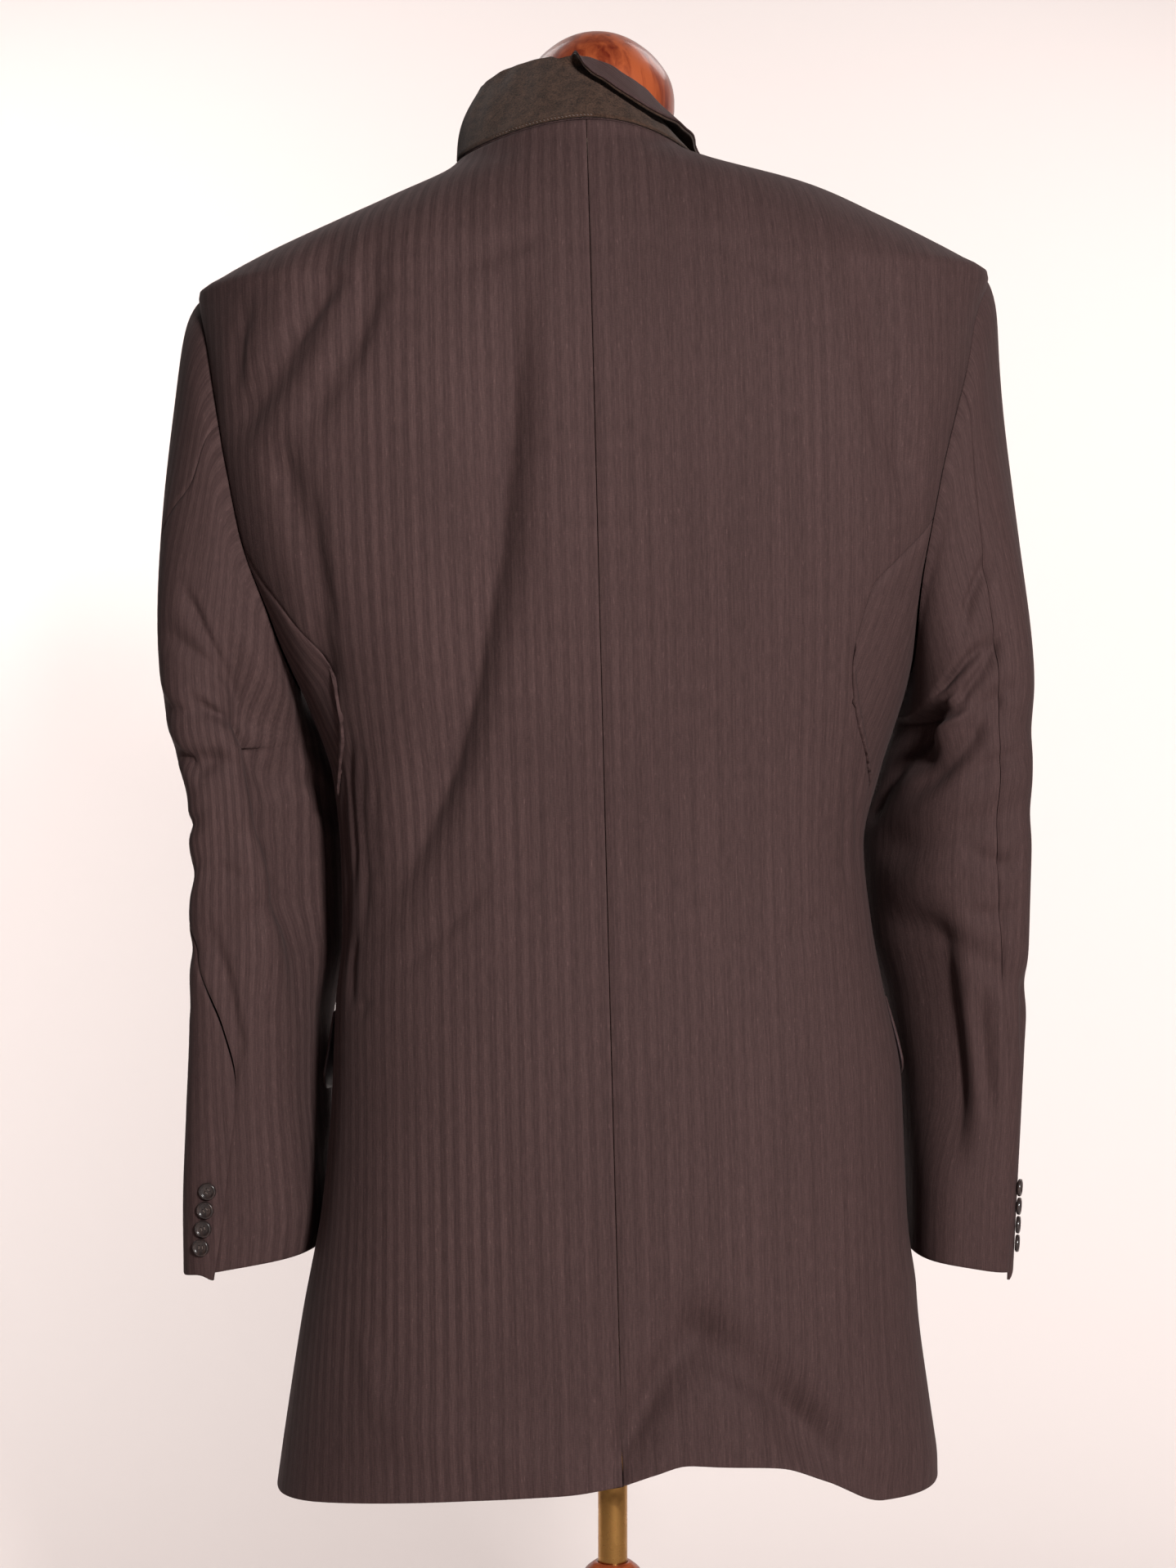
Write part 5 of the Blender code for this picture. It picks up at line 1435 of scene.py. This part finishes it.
class Collar(bpy.types.Operator):
    """Upper collar and felt undercollar, with the hand stitches that hold the felt"""
    bl_idname = "blazer.collar"
    bl_label = "Collar"

    def execute(self, context):
        share, across = collar_grid()
        middle, inner = collar_line(share, across)
        ripple = 0.22 * np.sin(share * 71 + across / 19) + 0.15 * np.sin(share * 133 - across / 9)
        stand = np.exp(-((share - 0.74) / 0.13) ** 2)
        bulge = STAND_BULGE * np.sin(pi * np.clip(across / smooth(COLLAR, 5, share), 0, 1)) * stand
        middle = middle + inner * (ripple * ease(across / 12) - bulge)[..., None]
        left, _, low, _ = edge_lengths(middle)
        uv = np.stack([low, left], -1) * MM
        for name, near, kind in (("undercollar", -FELT_OFF - COLLAR_LAYER, "felt"),
                                 ("upper_collar", WOOL_OFF, "wool")):
            grids = (middle + inner * near, middle + inner * (near + COLLAR_LAYER))
            sewn_piece(name, middle, grids, uv, False, (kind,))
        self.stitches()
        return {"FINISHED"}

    def stitches(self):
        """Slanted hand stitches along the felt's lower edge."""
        first, last = STITCHED
        build = bmesh.new()
        for k in range(STITCHES):
            share = first + (last - first) * np.array([[k, k + 0.55]]) / STITCHES
            middle, inner = collar_line(share, np.array([STITCH_RISE]))
            ends = leaned(middle - inner * (COLLAR_LAYER + 0.25))[0] * MM
            thread_stitch(build, Vector(ends[0]), Vector(ends[1]), STITCH_RADIUS * MM)
        made = mesh_object("collar_stitches", build, finish("thread"))
        dress(made, None, "felt")


def thread_stitch(build, start, end, radius):
    """A short plump stitch from start to end, closed at both ends."""
    way = end - start
    turn = way.to_track_quat("Z", "Y").to_matrix()
    rings = []
    for share, wide in ((0.0, 0.35), (0.2, 0.9), (0.5, 1.0), (0.8, 0.9), (1.0, 0.35)):
        ring = []
        for k in range(6):
            a = 2 * pi * k / 6
            offset = turn @ Vector((cos(a), sin(a), 0)) * radius * wide
            ring.append(build.verts.new(start + way * share + offset))
        rings.append(ring)
    for low, high in zip(rings, rings[1:]):
        for k in range(6):
            n = (k + 1) % 6
            build.faces.new((low[k], low[n], high[n], high[k]))
    build.faces.new(rings[0][::-1])
    build.faces.new(rings[-1])


def mesh_object(name, build, material):
    """Makes an object of a bmesh, facing outwards and smooth."""
    mesh = bpy.data.meshes.new(name)
    bmesh.ops.recalc_face_normals(build, faces=build.faces)
    build.to_mesh(mesh)
    build.free()
    mesh.materials.append(material)
    mesh.shade_smooth()
    return placed(name, mesh)


# Pockets

class Pockets(bpy.types.Operator):
    """Hip pocket flaps with satin backs, and the breast welt"""
    bl_idname = "blazer.pockets"
    bl_label = "Pockets"

    def execute(self, context):
        v = steps(16, FLAP_TOP - FLAP_BOTTOM)[:, None]
        u = steps(44, FLAP_WIDTH)[None, :]
        end = np.clip(1 - np.minimum(u, 1 - u) * FLAP_WIDTH / FLAP_CORNER, 0, 1)
        bottom = FLAP_BOTTOM + FLAP_CORNER * 0.8 * (1 - np.sqrt(1 - end ** 2))
        for (side, word), raised in zip(SIDES, FLAP_RAISED):
            lift = HANG + raised * (1 - v) * (1 - 0.6 * u)
            self.patch(f"pocket_flap_{word}", side, FLAP_TURNS, FLAP_TOP, bottom, u, v, lift,
                       ("wool", "lining"))
        v = steps(10, WELT_TOP - WELT_BOTTOM)[:, None]
        u = steps(30, WELT_WIDTH)[None, :]
        self.patch("breast_welt", 1, WELT_TURNS, WELT_TOP, WELT_BOTTOM, u, v, HANG, ("wool",))
        return {"FINISHED"}

    def patch(self, name, side, turns, top, bottom, u, v, lift, finishes):
        """A patch on the body, lifted off it and open at its top."""
        turn = radians(turns[0]) + radians(turns[1] - turns[0]) * u + 0 * v
        z = bottom + (top - bottom) * v + 0 * u
        out = body_normal(turn, z, side)
        lift = LAY + THIN_WALL + lift + 0 * turn
        points = body(turn, z, side) + out * lift[..., None]
        flip = side > 0
        grids = walled(points, flip, (TURNED, TURNED, TURNED, OPEN), THIN_WALL)
        sewn_piece(name, points, grids, body_map(turn, z, side, pi), flip, finishes)


# Modelling by hand

def alone(piece):
    """Selects one object and nothing else."""
    bpy.ops.object.select_all(action="DESELECT")
    piece.select_set(True)
    bpy.context.view_layer.objects.active = piece


def lathe(name, profile, around, material):
    """Extrudes a profile of (radius, height) rows from one point and spins it about +Z."""
    bpy.ops.object.select_all(action="DESELECT")
    bpy.ops.mesh.primitive_plane_add(size=0.001, location=(0, 0, 0))
    made = bpy.context.object
    made.name = name
    bpy.ops.object.mode_set(mode="EDIT")
    bpy.ops.mesh.select_all(action="SELECT")
    bpy.ops.mesh.merge(type="CENTER")
    radius, height = profile[0]
    bpy.ops.transform.translate(value=(radius * MM, 0, height * MM))
    for (r0, h0), (r1, h1) in zip(profile, profile[1:]):
        bpy.ops.mesh.extrude_vertices_move(
            TRANSFORM_OT_translate={"value": ((r1 - r0) * MM, 0, (h1 - h0) * MM)})
    bpy.ops.mesh.select_all(action="SELECT")
    bpy.ops.mesh.spin(steps=around, angle=2 * pi, center=(0, 0, 0), axis=(0, 0, 1))
    bpy.ops.mesh.select_all(action="SELECT")
    bpy.ops.mesh.remove_doubles(threshold=0.00001)
    bpy.ops.mesh.select_all(action="SELECT")
    bpy.ops.mesh.normals_make_consistent(inside=False)
    bpy.ops.object.mode_set(mode="OBJECT")
    alone(made)
    bpy.ops.object.shade_smooth_by_angle(angle=radians(50))
    made.data.materials.clear()
    made.data.materials.append(material)
    made.data.name = name
    return made


def rounded(profile, parts=3):
    """A turned profile with more rows on a smooth curve through those of the table."""
    rows = np.array(profile, float)
    step = np.hypot(*np.diff(rows, axis=0).T)
    at = np.concatenate([[0], np.cumsum(step)])
    fine = np.unique(np.concatenate([np.linspace(a, b, parts + 1) for a, b in zip(at, at[1:])]))
    table = np.column_stack([at, rows])
    return list(zip(smooth(table, 1, fine), smooth(table, 2, fine)))


# Buttons

class Buttons(bpy.types.Operator):
    """Four-hole horn buttons on the sleeve vents and the front, sewn on with thread"""
    bl_idname = "blazer.buttons"
    bl_label = "Buttons"

    def execute(self, context):
        small = self.model("cuff_button_pattern", CUFF_BUTTON / 2, CUFF_THICK)
        large = self.model("front_button_pattern", FRONT_BUTTON / 2, FRONT_THICK)
        fore = radians(FOREARM)
        for side, word in SIDES:
            sleeve = Sleeve(side)
            long = SLEEVE_TOP - sleeve.cuff
            for k in range(4):
                at = 1 - (CUFF_FIRST + CUFF_PITCH * k) / long * (1 - CAP_SHARE)
                hind = float(sleeve.hindarm(at))
                turn = np.float64((fore - 2 * pi) * CUFF_IN + hind * (1 - CUFF_IN))
                out = sleeve.smooth_normal(turn, at)
                centre = sleeve.point(turn, at) + out * BUTTON_OFF
                self.sew(small, f"cuff_button_{word}_{k + 1}", centre, out, k * 0.35)
        for k, drop in enumerate(FRONT_DROPS):
            place = (np.float64(pi), np.float64(BREAK - drop), 1)
            out = body_normal(*place)
            base = body(*place)
            centre = base + out * (lap(base[None], 1)[0] + BUTTON_OFF)
            self.sew(large, f"front_button_{k + 1}", centre, out, k * 0.5)
        for pattern in (small, large):
            for piece in pattern:
                bpy.data.objects.remove(piece, do_unlink=True)
        return {"FINISHED"}

    def model(self, name, radius, thick):
        """One button and its thread, flat on the origin and facing +Z."""
        profile = [(r * radius, h * thick) for r, h in BUTTON_PROFILE]
        button = lathe(name, rounded(profile, 2), 40, finish("horn"))
        hole = HOLE * radius
        off = HOLE_OFF * radius
        for x, y in ((off, off), (-off, off), (off, -off), (-off, -off)):
            bpy.ops.object.select_all(action="DESELECT")
            bpy.ops.mesh.primitive_cylinder_add(vertices=16, radius=hole * MM,
                                                depth=thick * 3 * MM,
                                                location=(x * MM, y * MM, 0))
            drill = bpy.context.object
            cutter = button.modifiers.new("hole", "BOOLEAN")
            cutter.operation = "DIFFERENCE"
            cutter.solver = "EXACT"
            cutter.object = drill
            alone(button)
            bpy.ops.object.modifier_apply(modifier=cutter.name)
            bpy.data.objects.remove(drill, do_unlink=True)
        alone(button)
        bpy.ops.object.shade_smooth_by_angle(angle=radians(40))
        build = bmesh.new()
        top = THREAD_TOP * thick * MM
        for x in (off, -off):
            for shift in (-0.10, 0.10):
                place = (x + shift * hole) * MM
                start = Vector((place, -off * MM, top))
                end = Vector((place, off * MM, top))
                thread_stitch(build, start, end, hole * 0.5 * MM)
        thread = mesh_object(name + "_thread", build, finish("thread"))
        return button, thread

    def sew(self, pattern, name, centre, out, spin):
        """Copies the pattern on to the cloth at centre, facing out."""
        centre = leaned(centre)
        out = leaned(np.asarray(out) + LEAN_AT) - leaned(LEAN_AT)
        turn = Vector(out).to_track_quat("Z", "Y").to_matrix().to_4x4()
        place = Matrix.Translation(Vector(centre * MM)) @ turn @ Matrix.Rotation(spin, 4, "Z")
        for piece, word in zip(pattern, ("horn", "thread")):
            mesh = piece.data.copy()
            mesh.transform(place)
            made = placed(f"{name}_{word}", mesh)
            dress(made, name if word == "horn" else None, "horn")


# Dress form and stand

class DressForm(bpy.types.Operator):
    """Linen-covered torso and turned neck cap"""
    bl_idname = "blazer.dress_form"
    bl_label = "Dress form"

    def execute(self, context):
        form = context.scene.blazer_form
        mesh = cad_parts["form_torso"].data.copy()
        torso = placed("form_torso_linen", mesh)
        alone(torso)
        bpy.ops.object.mode_set(mode="EDIT")
        bpy.ops.mesh.select_all(action="SELECT")
        bpy.ops.mesh.remove_doubles(threshold=0.00001)
        bpy.ops.mesh.select_all(action="SELECT")
        bpy.ops.mesh.tris_convert_to_quads()
        bpy.ops.object.mode_set(mode="OBJECT")
        alone(torso)
        softer = torso.modifiers.new("round", "SUBSURF")
        softer.levels = 2
        softer.render_levels = 2
        bpy.ops.object.modifier_apply(modifier=softer.name)
        # The neck is drawn in a little, so that the collar's stand hangs clear of it
        for corner in mesh.vertices:
            near = np.exp(-((corner.co.z / MM - NECK) / NECK_BAND) ** 2)
            corner.co -= corner.normal * float(near) * NECK_DRAWN * MM
        alone(torso)
        bpy.ops.object.shade_smooth_by_angle(angle=radians(50))
        mesh.materials.clear()
        mesh.materials.append(finish("linen"))
        dress(torso, "form_torso", "linen")
        cap = lathe("form_neck_cap_wood", rounded(CAP), form.around, finish("mahogany"))
        for corner in cap.data.vertices:
            place = np.array(corner.co) / MM - (NECK_ASIDE, NECK_FORWARD, 0)
            corner.co = leaned(place) * MM
        dress(cap, "form_neck_cap", "mahogany")
        return {"FINISHED"}


class Stand(bpy.types.Operator):
    """Brass pole, turned column and round base"""
    bl_idname = "blazer.stand"
    bl_label = "Stand"

    def execute(self, context):
        around = context.scene.blazer_form.around
        inside = POLE_RADIUS - POLE_BEVEL
        profile = ((0, POLE_FOOT), (inside, POLE_FOOT), (POLE_RADIUS, POLE_FOOT + POLE_BEVEL),
                   (POLE_RADIUS, POLE_TOP - POLE_BEVEL), (inside, POLE_TOP), (0, POLE_TOP))
        pole = lathe("stand_pole_brass", profile, around, finish("brass"))
        dress(pole, "stand_pole", "brass")
        rows = rounded(COLUMN[1:-1])
        rows = [COLUMN[0]] + rows + [COLUMN[-1], COLUMN[0]]
        column = lathe("stand_column_wood", rows, around, finish("mahogany"))
        dress(column, "stand_column", "mahogany")
        base = lathe("stand_base_wood", rounded(BASE), around, finish("mahogany"))
        dress(base, "stand_base", "mahogany")
        return {"FINISHED"}


# Stage

class Stage(bpy.types.Operator):
    """Floor and backdrop of seamless paper, soft lights and the camera"""
    bl_idname = "blazer.stage"
    bl_label = "Stage"

    def execute(self, context):
        self.paper()
        self.lamps(context.scene)
        self.camera(context.scene)
        context.scene.view_settings.view_transform = "Standard"
        return {"FINISHED"}

    def paper(self):
        front, back = PAPER_LINE
        line = [(front, 0.0), (back, 0.0)]
        for k in range(1, 25):
            a = pi / 2 * k / 24
            line.append((back - PAPER_BEND * sin(a), PAPER_BEND * (1 - cos(a))))
        line.append((back - PAPER_BEND, PAPER_TOP))
        build = bmesh.new()
        rows = [[build.verts.new((x, y, z)) for x in (-PAPER_HALF, PAPER_HALF)]
                for y, z in line]
        for low, high in zip(rows, rows[1:]):
            build.faces.new((low[0], high[0], high[1], low[1]))
        paper = mesh_object("backdrop_paper", build, finish("paper"))

    def lamps(self, scene):
        for name, place, aim, size, setting, share in LAMPS:
            lamp = bpy.data.lights.new(name, "AREA")
            lamp.size = size
            lamp.energy = getattr(scene.blazer_stage, setting) * share
            lamp.color = LAMP_COLOUR
            made = placed(name, lamp)
            made.location = place
            made.rotation_euler = (Vector(aim) - Vector(place)).to_track_quat("-Z", "Y").to_euler()
        world = bpy.data.worlds.new("studio")
        scene.world = world
        world.use_nodes = True
        ground = world.node_tree.nodes["Background"]
        ground.inputs["Color"].default_value = ROOM_COLOUR
        ground.inputs["Strength"].default_value = ROOM_LIGHT

    def camera(self, scene):
        camera = bpy.data.cameras.new("camera")
        camera.sensor_fit = "VERTICAL"
        camera.sensor_height = SENSOR
        camera.lens = LENS
        eye = placed("camera", camera)
        eye.location = (CAMERA_ASIDE, scene.blazer_stage.distance, scene.blazer_stage.height)
        eye.rotation_euler = (pi / 2, 0, pi)
        scene.camera = eye


# Panel in the sidebar, and the order of the pieces

class BlazerPanel(bpy.types.Panel):
    """Lists the blazer's settings and its pieces"""
    bl_idname = "VIEW3D_PT_blazer"
    bl_label = "Blazer on a dress form"
    bl_space_type = "VIEW_3D"
    bl_region_type = "UI"
    bl_category = "Blazer"

    def draw(self, context):
        for group in (context.scene.blazer_cloth, context.scene.blazer_form,
                      context.scene.blazer_stage):
            box = self.layout.box()
            for key in group.__annotations__:
                box.prop(group, key)
        for piece in PIECES:
            self.layout.operator(piece.bl_idname)


PIECES = (BodyPanels, Lapels, Sleeves, Collar, Pockets, Buttons, DressForm, Stand, Stage)
GROUPS = ((ClothSettings, "blazer_cloth"), (FormSettings, "blazer_form"),
          (StageSettings, "blazer_stage"))


def register():
    for kind, name in GROUPS:
        bpy.utils.register_class(kind)
        setattr(bpy.types.Scene, name, PointerProperty(type=kind))
    for kind in PIECES + (BlazerPanel,):
        bpy.utils.register_class(kind)


def unregister():
    for kind in reversed(PIECES + (BlazerPanel,)):
        bpy.utils.unregister_class(kind)
    for kind, name in reversed(GROUPS):
        delattr(bpy.types.Scene, name)
        bpy.utils.unregister_class(kind)


def main():
    register()
    bpy.ops.blazer.body_panels()
    bpy.ops.blazer.lapels()
    bpy.ops.blazer.sleeves()
    bpy.ops.blazer.collar()
    bpy.ops.blazer.pockets()
    bpy.ops.blazer.buttons()
    bpy.ops.blazer.dress_form()
    bpy.ops.blazer.stand()
    bpy.ops.blazer.stage()


if __name__ == "__main__":
    main()
